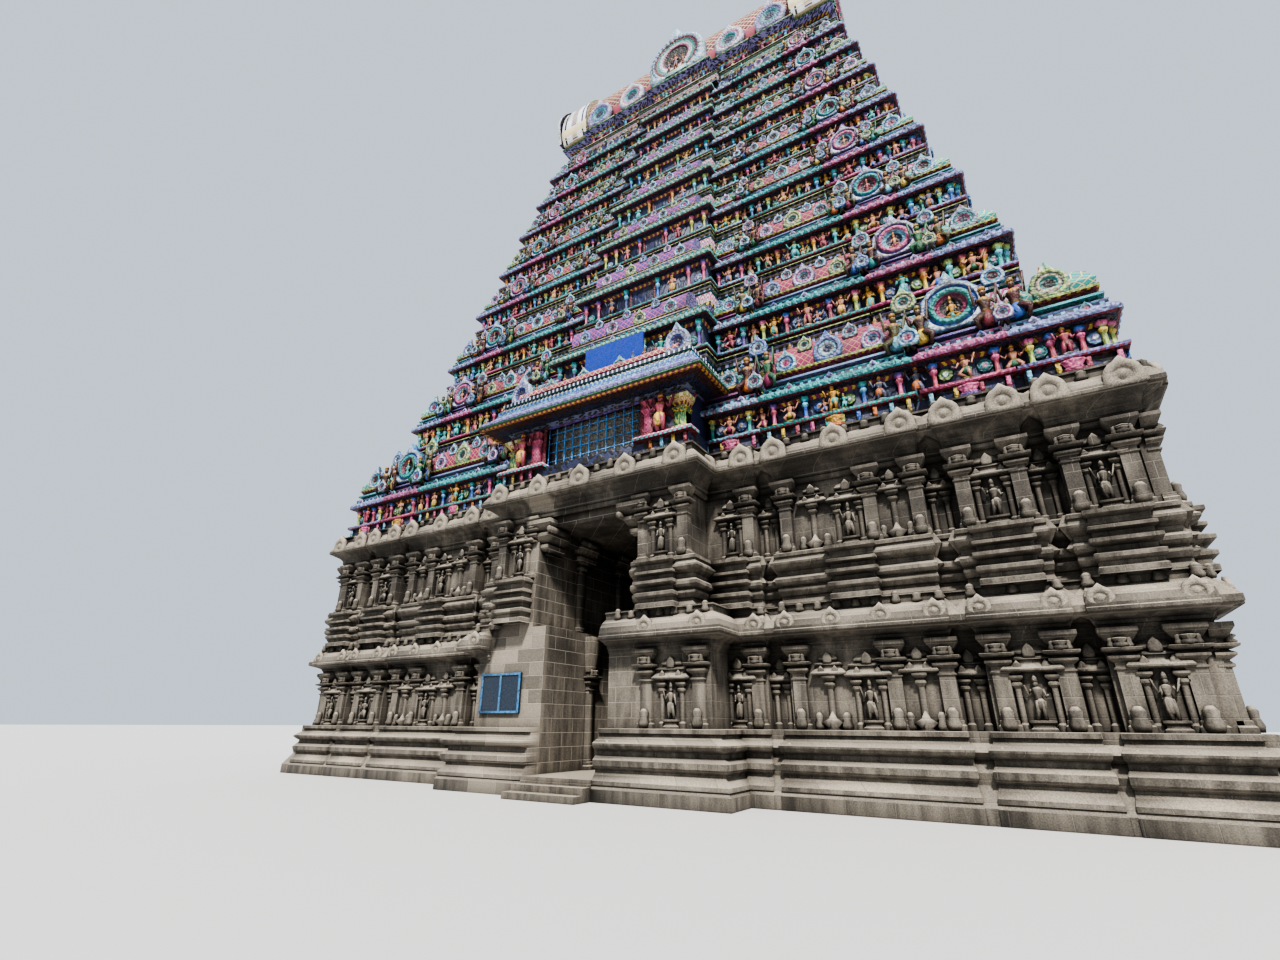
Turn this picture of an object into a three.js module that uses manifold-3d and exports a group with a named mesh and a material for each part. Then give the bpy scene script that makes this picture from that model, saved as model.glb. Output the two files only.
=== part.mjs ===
// Gopuram: a painted gateway tower of eight storeys, a neck and a barrel vault, on a granite base
// of two storeys with a passage through it. Millimetres, +Z up. X runs along the facade, the front
// faces -Y, and the origin is on the ground under the middle of the passage.
import * as THREE from 'three';
import * as BufferGeometryUtils from 'three/addons/utils/BufferGeometryUtils.js';
import Module from 'manifold-3d';

const wasm = await Module();
wasm.setup();

// Clearance between pieces that touch, and how deep joined pieces reach into each other.
const GAP = 0.3;
const BITE = 20;

// Granite base: half sizes of the recessed wall face, and how far its bays stand out.
const BASE_HALF_WIDTH = 12600;
const BASE_HALF_DEPTH = 7820;
const BASE_BAY_OUT = 250;
const LOWER_BHADRA_HALF = 3700;
const UPPER_BHADRA_HALF = 3250;
const BASE_BHADRA_OUT = 1330;

// Heights in the granite base, from the ground.
const PLINTH_TOP = 1560;
const LOWER_WALL_TOP = 3300;
const MID_CORNICE_TOP = 4200;
const UPPER_PLINTH_TOP = 5600;
const UPPER_WALL_TOP = 7450;
const MAIN_CORNICE_TOP = 8550;

// The passage through the base: where its left and right jambs stand from the middle, in the lower
// and the wider upper half, and its raised floor.
const PASSAGE_LOWER = { left: 1300, right: 850 };
const PASSAGE_UPPER = { left: 1780, right: 1650 };
const PASSAGE_FLOOR = 450;
const STEP_RISE = 150;
const STEP_TREAD = 320;
const CEILING_THICKNESS = 350;
const CORBEL_REACH = 300;
const CORBEL_HEIGHT = 300;

// The plain notice board on the left jamb of the passage.
const BOARD = { width: 1450, height: 1050, thickness: 60, centreX: -2750, bottom: 1920 };

// Square pilasters of the stone walls: where they stand as shares of the face's half length. The
// first one stands on the middle bay, in the upper wall only.
const PILASTERS = {
  width: 300, out: 110, places: [0.245, 0.352, 0.432, 0.595, 0.676, 0.752, 0.838, 0.911, 1.0],
};

// The canopy over the great window of the first storey: half width and depth of the wall below it,
// its profile as [overhang, height] pairs, and the low barrel roof on top of it.
const CANOPY = {
  half: 3260,
  face: 9100,
  profile: [
    [0, 10540], [740, 10590], [740, 10680], [330, 11200], [330, 11330], [200, 11400], [200, 11600],
  ],
  barrel: { half: 3000, centreY: 8720, depth: 430, height: 520 },
};

// The plain panel that stands on top of the canopy.
const PANEL = { halfWidth: 1170, face: 8000, thickness: 60, top: 13720 };

// Painted storeys, lowest first: tip of the corner shrine's cornice from the two middle planes,
// height of that tip, height where its columns stand, half width of the middle bay, how far the
// middle bay stands out and rises above the rest, and half width and height of the middle window.
const STOREYS = [
  { width: 13040, depth: 8110, cornice: 9990, ledge: 9150,
    bhadra: 3200, out: 1420, rise: 650, window: [1750, 1500] },
  { width: 11690, depth: 6760, cornice: 13800, ledge: 12860,
    bhadra: 2950, out: 950, rise: 300, window: [550, 1150] },
  { width: 10980, depth: 5810, cornice: 17190, ledge: 16330,
    bhadra: 2700, out: 800, rise: 300, window: [480, 1050] },
  { width: 10260, depth: 5150, cornice: 20360, ledge: 19550,
    bhadra: 2420, out: 620, rise: 300, window: [400, 1000] },
  { width: 9650, depth: 4510, cornice: 23090, ledge: 22350,
    bhadra: 2220, out: 560, rise: 300, window: [360, 950] },
  { width: 9130, depth: 3890, cornice: 25830, ledge: 25150,
    bhadra: 2050, out: 520, rise: 300, window: [330, 880] },
  { width: 8650, depth: 3300, cornice: 28300, ledge: 27700,
    bhadra: 1900, out: 480, rise: 300, window: [300, 780] },
  { width: 8210, depth: 2870, cornice: 30430, ledge: 29800,
    bhadra: 1750, out: 440, rise: 300, window: [280, 720] },
];
const STOREY_OVERHANG = 250;
const STOREY_BAY_OUT = 180;
const LEDGE_OUT = 140;
const CORNICE_DROP = 100;
const CORNICE_RISE = 330;
const LINTEL = 240;
const WALL_THICKNESS = [1900, 1500, 1300, 1150, 1000, 900, 750, 650];

// Sizes of the shrine roofs of the first storey; the storeys above scale them by their height.
const FIRST_STOREY_PITCH = 3810;
const TOP_STOREY_PITCH = 2000;
const SHRINE_DEPTH = 620;
const KUTA_HEIGHT = 1750;
const SALA_HEIGHT = 1500;
const MIDDLE_SALA_HEIGHT = 1300;

// Neck, vault and what crowns it.
const NECK_HALF_WIDTH = 7500;
const NECK_HALF_DEPTH = 1950;
const NECK_WALL = 350;
const NECK_BAY_HALF = 1500;
const NECK_BAY_OUT = 600;
const NECK_TOP = 32900;
const EAVE_OUT = 400;
const EAVE_TOP = 33250;
const VAULT_HALF_LENGTH = 7350;
const VAULT_HALF_DEPTH = 2250;
const VAULT_BULGE = 2500;
const VAULT_BULGE_HEIGHT = 1000;
const VAULT_HEIGHT = 4400;
const VAULT_SHELL = 350;
const GABLE_INNER = 6000;
const GABLE_OUTER = 7750;
const GABLE_RIM = 220;
const GREAT_KUDU_RADIUS = 1400;
const GREAT_KUDU_FRONT = 2900;
const GREAT_KUDU_THICKNESS = 900;
const SMALL_KUDU = { places: [2900, 5050], halfBay: 700, bayOut: 350, radius: 700, thickness: 600 };
const KALASAM_COUNT = 9;
const KALASAM_HEIGHT = 1300;
const RIDGE_HALF_LENGTH = 5900;
const RIDGE_KERB = 260;
const ROD = { x: -5450, halfWidth: 30, top: 39750 };

const materials = {
  granite: new THREE.MeshStandardMaterial({ color: 0x8d8374, roughness: 0.92, metalness: 0 }),
  stucco: new THREE.MeshStandardMaterial({ color: 0x7fb4bd, roughness: 0.75, metalness: 0 }),
  parapet: new THREE.MeshStandardMaterial({ color: 0xd9a8a6, roughness: 0.75, metalness: 0 }),
  lilac: new THREE.MeshStandardMaterial({ color: 0xb0a8d8, roughness: 0.7, metalness: 0 }),
  vault: new THREE.MeshStandardMaterial({ color: 0xc9605f, roughness: 0.75, metalness: 0 }),
  gable: new THREE.MeshStandardMaterial({ color: 0xe8e0dc, roughness: 0.75, metalness: 0 }),
  brass: new THREE.MeshStandardMaterial({ color: 0xc79a3f, roughness: 0.35, metalness: 1 }),
  board: new THREE.MeshStandardMaterial({ color: 0x3d6fb6, roughness: 0.6, metalness: 0 }),
};

// A closed geometry as a solid that can be joined and cut.
function asSolid(geometry) {
  const bare = geometry.clone();
  bare.deleteAttribute('normal');
  bare.deleteAttribute('uv');
  const merged = BufferGeometryUtils.mergeVertices(bare, 1e-3);
  return new wasm.Manifold(new wasm.Mesh({
    numProp: 3,
    vertProperties: new Float32Array(merged.attributes.position.array),
    triVerts: new Uint32Array(merged.index.array),
  }));
}

// A named mesh of the group, from a solid.
function addPiece(group, name, solid, material) {
  const data = solid.getMesh();
  const geometry = new THREE.BufferGeometry();
  geometry.setAttribute('position', new THREE.BufferAttribute(new Float32Array(data.vertProperties), 3));
  geometry.setIndex(new THREE.BufferAttribute(new Uint32Array(data.triVerts), 1));
  geometry.computeVertexNormals();
  const mesh = new THREE.Mesh(geometry, material);
  mesh.name = name;
  group.add(mesh);
}

function join(solids) {
  return solids.reduce((whole, solid) => whole.add(solid));
}

// A box between two corners.
function block(x0, x1, y0, y1, z0, z1) {
  const geometry = new THREE.BoxGeometry(x1 - x0, y1 - y0, z1 - z0);
  geometry.translate((x0 + x1) / 2, (y0 + y1) / 2, (z0 + z1) / 2);
  return asSolid(geometry);
}

function rectangle(x0, x1, y0, y1) {
  return [
    new THREE.Vector2(x0, y0), new THREE.Vector2(x1, y0),
    new THREE.Vector2(x1, y1), new THREE.Vector2(x0, y1),
  ];
}

// A course of masonry over one rectangle, carried up a profile of [offset, height] pairs.
function course([low, , high], profile) {
  const positions = [];
  for (const [offset, height] of profile) {
    positions.push(low.x - offset, low.y - offset, height, high.x + offset, low.y - offset, height);
    positions.push(high.x + offset, high.y + offset, height, low.x - offset, high.y + offset, height);
  }
  const top = (profile.length - 1) * 4;
  const faces = [0, 2, 1, 0, 3, 2, top, top + 1, top + 2, top, top + 2, top + 3];
  for (let level = 0; level < top; level += 4) {
    for (let i = 0; i < 4; i += 1) {
      const a = level + i;
      const b = level + ((i + 1) % 4);
      faces.push(a, b, b + 4, a, b + 4, a + 4);
    }
  }
  const geometry = new THREE.BufferGeometry();
  geometry.setAttribute('position', new THREE.Float32BufferAttribute(positions, 3));
  geometry.setIndex(faces);
  return asSolid(geometry);
}

// A course of masonry over a plan of several rectangles; where bays stand close, their
// mouldings run together.
function masonry(plan, profile) {
  return join(plan.map((part) => course(part, profile)));
}

// Where the bays of a face start and end, as shares of its half length from the middle.
const SALA_BAY = [0.413, 0.685];
const PANJARA_BAY = [0.733, 0.852];
const NEAR_BAY_END = 0.37;
const CORNER_START = 0.892;

// The plan of one level as rectangles: its body, and the bays that stand out of its faces.
function bayPlan(halfWidth, halfDepth, bhadraHalf, bhadraOut, bayOut, bays) {
  const reach = halfDepth + bayOut;
  const corner = CORNER_START * halfWidth;
  const cornerDepth = halfWidth - corner;
  const plan = [
    rectangle(-halfWidth, halfWidth, -halfDepth, halfDepth),
    rectangle(-bhadraHalf, bhadraHalf, -halfDepth - bhadraOut, halfDepth + bhadraOut),
  ];
  for (const side of [-1, 1]) {
    const bay = (start, end, near, far) => rectangle(
      Math.min(side * start, side * end),
      Math.max(side * start, side * end),
      near,
      far,
    );
    plan.push(
      ...bays.map(([start, end]) => bay(start * halfWidth, end * halfWidth, -reach, reach)),
      bay(corner, halfWidth + bayOut, -reach, cornerDepth - halfDepth),
      bay(corner, halfWidth + bayOut, halfDepth - cornerDepth, reach),
    );
  }
  return plan;
}

const [lowerPlan, upperPlan] = [LOWER_BHADRA_HALF, UPPER_BHADRA_HALF].map((bhadraHalf) => bayPlan(
  BASE_HALF_WIDTH,
  BASE_HALF_DEPTH,
  bhadraHalf,
  BASE_BHADRA_OUT,
  BASE_BAY_OUT,
  [[0, NEAR_BAY_END], SALA_BAY, PANJARA_BAY],
));

// The pilasters of a stone wall, front and back.
function pilasters(places, bottom, top) {
  const rows = [];
  for (const share of places) {
    const middle = share * BASE_HALF_WIDTH - (share === 1 ? PILASTERS.width / 2 : 0);
    const stepOut = middle < UPPER_BHADRA_HALF ? BASE_BHADRA_OUT : BASE_BAY_OUT;
    const face = BASE_HALF_DEPTH + stepOut;
    for (const x of [-middle, middle]) {
      for (const y of [-face, face]) {
        rows.push(block(x - PILASTERS.width / 2, x + PILASTERS.width / 2, y - PILASTERS.out,
          y + PILASTERS.out, bottom, top));
      }
    }
  }
  return rows;
}

// The blocks that a mended jamb takes out of a moulding, on the front and left of the passage.
function mendedJamb(start, bottom, top) {
  const far = BASE_HALF_DEPTH + 3000;
  return block(-start, 0, -far, -BASE_HALF_DEPTH - BASE_BHADRA_OUT, bottom, top);
}

// The two halves of a base course, either side of the passage; mended is cut off the left one.
function addBasePair(group, name, plan, profile, passage, extras = [], mended = []) {
  const whole = join([masonry(plan, profile), ...extras]);
  const far = BASE_HALF_WIDTH + 3000;
  const low = profile[0][1] - 1;
  const high = profile.at(-1)[1] + 1;
  const left = whole.intersect(block(-far, -passage.left, -far, far, low, high));
  addPiece(group, `${name}_left`, mended.reduce((rest, cut) => rest.subtract(cut), left),
    materials.granite);
  addPiece(group, `${name}_right`, whole.intersect(block(passage.right, far, -far, far, low, high)),
    materials.granite);
}

const tower = new THREE.Group();

function addGraniteBase(group) {
  addBasePair(group, 'plinth', lowerPlan, [
    [620, 0], [620, 280], [400, 640], [460, 850], [300, 1050], [500, 1200], [300, 1360],
    [300, PLINTH_TOP - GAP],
  ], PASSAGE_LOWER);
  addBasePair(group, 'lower_wall', lowerPlan, [
    [0, PLINTH_TOP], [0, LOWER_WALL_TOP - GAP],
  ], PASSAGE_LOWER, pilasters(PILASTERS.places.slice(1), PLINTH_TOP, LOWER_WALL_TOP - GAP));
  addBasePair(group, 'mid_cornice', lowerPlan, [
    [0, LOWER_WALL_TOP], [120, 3540], [450, 3650], [450, 3770], [80, MID_CORNICE_TOP - GAP],
  ], PASSAGE_LOWER, [], [mendedJamb(3300, LOWER_WALL_TOP - 1, MID_CORNICE_TOP + 1)]);
  addBasePair(group, 'upper_plinth', upperPlan, [
    [120, MID_CORNICE_TOP], [0, 4440], [0, 4760], [200, 4900], [80, 5060], [240, 5340],
    [120, UPPER_PLINTH_TOP - GAP],
  ], PASSAGE_UPPER, [], [
    mendedJamb(2960, MID_CORNICE_TOP - 1, 4760),
    mendedJamb(2640, 4759, UPPER_PLINTH_TOP + 1),
  ]);
  addBasePair(group, 'upper_wall', upperPlan, [
    [-60, UPPER_PLINTH_TOP], [-60, UPPER_WALL_TOP - GAP],
  ], PASSAGE_UPPER, pilasters(PILASTERS.places, UPPER_PLINTH_TOP, UPPER_WALL_TOP - GAP));
}

// The slabs over the passage, from wall to wall, on rows of corbels.
function addPassage(group) {
  const ceilingTop = UPPER_WALL_TOP - GAP;
  const ceilingBottom = ceilingTop - CEILING_THICKNESS;
  const reach = BASE_HALF_DEPTH + BASE_BHADRA_OUT - 200;
  const left = GAP - PASSAGE_UPPER.left;
  const right = PASSAGE_UPPER.right - GAP;
  const slabs = [block(left, right, -reach, reach, ceilingBottom, ceilingTop)];
  for (const x0 of [left, right - CORBEL_REACH]) {
    slabs.push(block(x0, x0 + CORBEL_REACH, -reach, reach, ceilingBottom - CORBEL_HEIGHT,
      ceilingBottom + BITE));
  }
  addPiece(group, 'passage_ceiling', join(slabs), materials.granite);

  const floorLeft = GAP - PASSAGE_LOWER.left;
  const floorRight = PASSAGE_LOWER.right - GAP;
  const floorReach = BASE_HALF_DEPTH + BASE_BHADRA_OUT + 620;
  const floor = [block(floorLeft, floorRight, -floorReach, floorReach, 0, PASSAGE_FLOOR)];
  const steps = PASSAGE_FLOOR / STEP_RISE - 1;
  for (const side of [-1, 1]) {
    for (let i = 1; i <= steps; i += 1) {
      const outer = side * (floorReach + i * STEP_TREAD);
      const inner = side * (floorReach - BITE);
      floor.push(block(floorLeft, floorRight, Math.min(inner, outer), Math.max(inner, outer), 0,
        PASSAGE_FLOOR - i * STEP_RISE));
    }
  }
  addPiece(group, 'passage_floor', join(floor), materials.granite);
}

function addMainCornice(group) {
  addPiece(group, 'main_cornice', masonry(upperPlan, [
    [-60, UPPER_WALL_TOP], [90, 7760], [470, 7960], [470, 8060], [300, 8330], [60, MAIN_CORNICE_TOP - GAP],
  ]), materials.granite);
}

function addNoticeBoard(group) {
  const front = -(BASE_HALF_DEPTH + BASE_BHADRA_OUT) - GAP;
  addPiece(group, 'notice_board', block(BOARD.centreX - BOARD.width / 2, BOARD.centreX + BOARD.width / 2,
    front - BOARD.thickness, front, BOARD.bottom, BOARD.bottom + BOARD.height), materials.board);
}

// Storey values worked out from the driving ones.
const storeys = STOREYS.map((given, index) => {
  const halfWidth = given.width - STOREY_OVERHANG - STOREY_BAY_OUT;
  const halfDepth = given.depth - STOREY_OVERHANG - STOREY_BAY_OUT;
  const bottom = index === 0 ? MAIN_CORNICE_TOP : STOREYS[index - 1].cornice + CORNICE_RISE;
  const next = STOREYS[index + 1];
  const pitch = next ? next.cornice - given.cornice : TOP_STOREY_PITCH;
  return {
    ...given,
    name: `storey${index + 1}`,
    halfWidth,
    halfDepth,
    bottom,
    scale: pitch / FIRST_STOREY_PITCH,
    wall: WALL_THICKNESS[index],
    shelf: next ? next.depth - STOREY_OVERHANG - STOREY_BAY_OUT + next.out + LEDGE_OUT + GAP : 0,
    plan: bayPlan(halfWidth, halfDepth, given.bhadra, given.out, STOREY_BAY_OUT, [SALA_BAY]),
  };
});

// The room that a storey's walls take, for cutting the roofs in front of them.
function storeyRoom(storey) {
  const wide = storey.halfWidth + STOREY_BAY_OUT + LEDGE_OUT + GAP;
  const deep = storey.halfDepth + STOREY_BAY_OUT + LEDGE_OUT + GAP;
  const bhadra = storey.bhadra + LEDGE_OUT + GAP;
  const bhadraDeep = storey.halfDepth + storey.out + LEDGE_OUT + GAP;
  const top = storey.cornice + 2000;
  return block(-wide, wide, -deep, deep, storey.bottom, top)
    .add(block(-bhadra, bhadra, -bhadraDeep, bhadraDeep, storey.bottom, top));
}

// Whether a canopy stands over the middle bay, higher than the floor of the storey above.
const hasCanopy = (storey) => storey.rise > CORNICE_RISE;

// A block across the middle bay of one side, between two distances from the middle plane.
function middleBlock(side, half, near, far, low, high) {
  return block(-half, half, Math.min(side * near, side * far), Math.max(side * near, side * far), low, high);
}

// The outer form of a storey's walls, with its base mouldings and its taller middle bays.
function storeyMass(storey) {
  const { bottom, ledge, cornice, rise } = storey;
  const walls = masonry(storey.plan, [
    [LEDGE_OUT, bottom], [LEDGE_OUT, ledge], [0, ledge], [0, cornice - CORNICE_DROP],
  ]);
  const reach = storey.halfDepth + storey.out;
  const half = storey.bhadra;
  const inner = storey.halfDepth - storey.wall;
  const low = cornice - CORNICE_DROP - BITE;
  const high = cornice + rise - CORNICE_DROP;
  const middles = [];
  for (const side of [-1, 1]) {
    middles.push(middleBlock(side, half, inner, reach, low, Math.min(high, cornice + CORNICE_RISE - GAP)));
    if (hasCanopy(storey)) middles.push(middleBlock(side, half, storey.shelf, reach, low, high));
  }
  return join([walls, ...middles]);
}

function addStoreyWalls(group, storey) {
  const hollow = block(-(storey.halfWidth - storey.wall), storey.halfWidth - storey.wall,
    -(storey.halfDepth - storey.wall), storey.halfDepth - storey.wall,
    storey.bottom - 100, storey.cornice + 1000);
  const [windowHalf, windowHeight] = storey.window;
  const far = storey.depth + 3000;
  const head = storey.cornice + storey.rise - CORNICE_DROP - LINTEL / 2;
  const innerHead = Math.min(head, storey.cornice + CORNICE_RISE - LINTEL);
  const sill = head - windowHeight;
  let walls = storeyMass(storey).subtract(hollow)
    .subtract(block(-windowHalf, windowHalf, -far, far, sill, innerHead));
  if (hasCanopy(storey)) {
    for (const side of [-1, 1]) {
      walls = walls.subtract(middleBlock(side, windowHalf, storey.shelf, far, sill, head));
    }
  }
  addPiece(group, `${storey.name}_walls`, walls, materials.stucco);
}

// A square shrine roof: a swelling dome with its finial.
function kutaRoof(x, y, z, half, height) {
  const square = rectangle(x - half, x + half, y - half, y + half);
  return course(square, [
    [-0.12 * half, z], [0.02 * half, z + 0.25 * height], [-0.2 * half, z + 0.54 * height],
    [-0.75 * half, z + 0.76 * height], [-0.95 * half, z + height],
  ]);
}

// The section of a barrel roof, wider above its springing than at it.
function barrelShape(half, height) {
  const shape = new THREE.Shape();
  shape.moveTo(-0.86 * half, 0);
  shape.lineTo(0.86 * half, 0);
  shape.bezierCurveTo(1.15 * half, 0.35 * height, 0.95 * half, 0.8 * height, 0, height);
  shape.bezierCurveTo(-0.95 * half, 0.8 * height, -1.15 * half, 0.35 * height, -0.86 * half, 0);
  return shape;
}

// A barrel roof along X, or along Y where it is turned.
function salaRoof(x, y, z, halfLength, halfDepth, height, turned) {
  const geometry = new THREE.ExtrudeGeometry(barrelShape(halfDepth, height), {
    depth: 2 * halfLength, bevelEnabled: false, curveSegments: 3,
  });
  geometry.translate(0, 0, -halfLength);
  geometry.rotateX(Math.PI / 2);
  if (!turned) geometry.rotateZ(Math.PI / 2);
  geometry.translate(x, y, z);
  return asSolid(geometry);
}

// A horseshoe gable that faces along Y, or along X where it is turned.
function kudu(x, y, z, radius, thickness, turned, segments) {
  const shape = new THREE.Shape();
  const foot = 0.75 * radius;
  shape.moveTo(-foot, 0);
  shape.lineTo(foot, 0);
  shape.absarc(0, 0.9 * radius, radius, -0.7, Math.PI + 0.7, false);
  const geometry = new THREE.ExtrudeGeometry(shape, {
    depth: thickness, bevelEnabled: false, curveSegments: segments,
  });
  geometry.translate(0, 0, -thickness / 2);
  geometry.rotateX(Math.PI / 2);
  if (turned) geometry.rotateZ(Math.PI / 2);
  geometry.translate(x, y, z);
  return asSolid(geometry);
}

// The roofs of the small shrines that line the edge of a storey.
function shrineRoofs(storey) {
  const { halfWidth, halfDepth, scale } = storey;
  const z = storey.cornice + CORNICE_RISE - BITE;
  const roofs = [];
  const cornerHalf = 0.5 * (1 - CORNER_START) * halfWidth + STOREY_BAY_OUT / 2;
  const salaMiddle = 0.5 * (SALA_BAY[0] + SALA_BAY[1]) * halfWidth;
  const salaHalf = 0.5 * (SALA_BAY[1] - SALA_BAY[0]) * halfWidth;
  const panjara = 0.5 * (PANJARA_BAY[0] + PANJARA_BAY[1]) * halfWidth;
  const depth = SHRINE_DEPTH * scale;
  for (const sideY of [-1, 1]) {
    const face = sideY * (halfDepth + STOREY_BAY_OUT);
    for (const sideX of [-1, 1]) {
      roofs.push(kutaRoof(sideX * (halfWidth + STOREY_BAY_OUT - cornerHalf),
        face - sideY * cornerHalf, z, cornerHalf, KUTA_HEIGHT * scale));
      roofs.push(salaRoof(sideX * salaMiddle, face - sideY * depth, z, salaHalf, depth,
        SALA_HEIGHT * scale, false));
      roofs.push(kudu(sideX * panjara, face - sideY * 0.6 * depth, z, 0.05 * halfWidth, 1.1 * depth,
        false, 4));
    }
    if (!hasCanopy(storey)) {
      roofs.push(salaRoof(0, sideY * (halfDepth + storey.out - depth), z + storey.rise,
        0.8 * storey.bhadra, depth, MIDDLE_SALA_HEIGHT * scale, false));
    }
  }
  for (const sideX of [-1, 1]) {
    roofs.push(salaRoof(sideX * (halfWidth + STOREY_BAY_OUT - depth), 0, z, 0.3 * halfDepth, depth,
      SALA_HEIGHT * scale, true));
  }
  return roofs;
}

// The cornice slab that closes a storey, its taller middle bays and its row of shrine roofs,
// cut clear of the storey above.
function addStoreyParapet(group, storey, above) {
  const { cornice } = storey;
  const profile = (base) => [
    [0, base - CORNICE_DROP], [STOREY_OVERHANG, base], [STOREY_OVERHANG, base + 80],
    [40, base + CORNICE_RISE - GAP],
  ];
  const slab = masonry(storey.plan, profile(cornice));
  const reach = storey.halfDepth + storey.out;
  const inner = storey.halfDepth - storey.wall;
  let whole = slab;
  for (const side of [-1, 1]) {
    const notch = side * (reach + 2 * STOREY_OVERHANG);
    const back = side * (inner - GAP);
    whole = whole.subtract(block(-storey.bhadra - 300, storey.bhadra + 300, Math.min(notch, back),
      Math.max(notch, back), cornice - CORNICE_DROP - 50, cornice + storey.rise - CORNICE_DROP + GAP));
  }
  const middles = hasCanopy(storey) ? [] : [-1, 1].map((side) => course(
    rectangle(-storey.bhadra, storey.bhadra, side < 0 ? -reach : inner - 300,
      side < 0 ? 300 - inner : reach),
    profile(cornice + storey.rise).map(([offset, height]) => [offset, height + 2 * GAP]),
  ));
  whole = join([whole, ...middles, ...shrineRoofs(storey)]);
  if (above) whole = whole.subtract(above);
  addPiece(group, `${storey.name}_parapet`, whole, materials.parapet);
}

const NECK_BOTTOM = STOREYS.at(-1).cornice + CORNICE_RISE;
const NECK_BASE_TOP = 31900;
const NECK_BASE_OUT = 350;
const neckPlan = [
  rectangle(-NECK_HALF_WIDTH, NECK_HALF_WIDTH, -NECK_HALF_DEPTH, NECK_HALF_DEPTH),
  rectangle(-NECK_BAY_HALF, NECK_BAY_HALF, -NECK_HALF_DEPTH - NECK_BAY_OUT, NECK_HALF_DEPTH + NECK_BAY_OUT),
  ...SMALL_KUDU.places.flatMap((place) => [-place, place]).map((x) => rectangle(
    x - SMALL_KUDU.halfBay,
    x + SMALL_KUDU.halfBay,
    -NECK_HALF_DEPTH - SMALL_KUDU.bayOut,
    NECK_HALF_DEPTH + SMALL_KUDU.bayOut,
  )),
];

function neckRoom() {
  return masonry(neckPlan, [[NECK_BASE_OUT + GAP, NECK_BOTTOM], [NECK_BASE_OUT + GAP, NECK_TOP]]);
}

function addNeck(group) {
  const mass = masonry(neckPlan, [
    [NECK_BASE_OUT, NECK_BOTTOM], [NECK_BASE_OUT, NECK_BASE_TOP], [0, NECK_BASE_TOP],
    [0, NECK_TOP - GAP],
  ]);
  const hollow = block(-(NECK_HALF_WIDTH - NECK_WALL), NECK_HALF_WIDTH - NECK_WALL,
    -(NECK_HALF_DEPTH - NECK_WALL), NECK_HALF_DEPTH - NECK_WALL, NECK_BOTTOM - 100, NECK_TOP + 100);
  const opening = block(-420, 420, -4000, 4000, 31980, 32780);
  addPiece(group, 'neck_walls', mass.subtract(hollow).subtract(opening), materials.stucco);
}

// The eave under the vault, with the small round gables that stand on it.
function addEave(group) {
  const eave = masonry(neckPlan, [
    [0, NECK_TOP], [120, NECK_TOP + 60], [EAVE_OUT, NECK_TOP + 180], [EAVE_OUT, NECK_TOP + 260],
    [300, EAVE_TOP - GAP],
  ]);
  const { places, bayOut, radius, thickness } = SMALL_KUDU;
  const y = NECK_HALF_DEPTH + bayOut + EAVE_OUT - 50 - thickness / 2;
  const kudus = [];
  for (const place of places) {
    for (const sideX of [-1, 1]) {
      for (const sideY of [-1, 1]) {
        kudus.push(kudu(sideX * place, sideY * y, EAVE_TOP - BITE, radius, thickness, false, 5));
      }
    }
  }
  const room = vaultSolid(-GAP, -VAULT_HALF_LENGTH, VAULT_HALF_LENGTH, EAVE_TOP - GAP);
  addPiece(group, 'vault_eave', join([eave, ...kudus]).subtract(room), materials.lilac);
}

// The section of the great vault, pointed at the ridge, moved inwards by a distance.
function vaultSection(inset) {
  const half = VAULT_HALF_DEPTH - inset;
  const bulge = VAULT_BULGE - inset;
  const top = VAULT_HEIGHT - inset;
  const shape = new THREE.Shape();
  shape.moveTo(-half, 0);
  shape.lineTo(half, 0);
  shape.quadraticCurveTo(1.03 * bulge, 0.5 * VAULT_BULGE_HEIGHT, bulge, VAULT_BULGE_HEIGHT);
  shape.bezierCurveTo(0.98 * bulge, 0.58 * top, 0.5 * bulge, 0.9 * top, 0, top);
  shape.bezierCurveTo(-0.5 * bulge, 0.9 * top, -0.98 * bulge, 0.58 * top, -bulge, VAULT_BULGE_HEIGHT);
  shape.quadraticCurveTo(-1.03 * bulge, 0.5 * VAULT_BULGE_HEIGHT, -half, 0);
  return shape;
}

function vaultSolid(inset, from, to, bottom) {
  const geometry = new THREE.ExtrudeGeometry(vaultSection(inset), {
    depth: to - from, bevelEnabled: false, curveSegments: 8,
  });
  geometry.translate(0, 0, from);
  geometry.rotateX(Math.PI / 2);
  geometry.rotateZ(Math.PI / 2);
  geometry.translate(0, 0, bottom);
  return asSolid(geometry);
}

function addVault(group) {
  const half = VAULT_HALF_LENGTH;
  const shell = vaultSolid(0, -half, half, EAVE_TOP)
    .subtract(vaultSolid(VAULT_SHELL, -half - 100, half + 100, EAVE_TOP - BITE));
  const kerb = block(-RIDGE_HALF_LENGTH, RIDGE_HALF_LENGTH, -RIDGE_KERB, RIDGE_KERB,
    EAVE_TOP + VAULT_HEIGHT - 150, EAVE_TOP + VAULT_HEIGHT + 60);
  addPiece(group, 'vault', shell.add(kerb), materials.vault);
  const room = vaultSolid(-2 * GAP, -half - GAP, half + GAP, EAVE_TOP - GAP);
  for (const [side, name] of [[-1, 'left'], [1, 'right']]) {
    const ends = [side * GABLE_INNER, side * GABLE_OUTER].sort((a, b) => a - b);
    addPiece(group, `gable_${name}`, vaultSolid(-GABLE_RIM, ends[0], ends[1], EAVE_TOP).subtract(room),
      materials.gable);
  }
}

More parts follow.
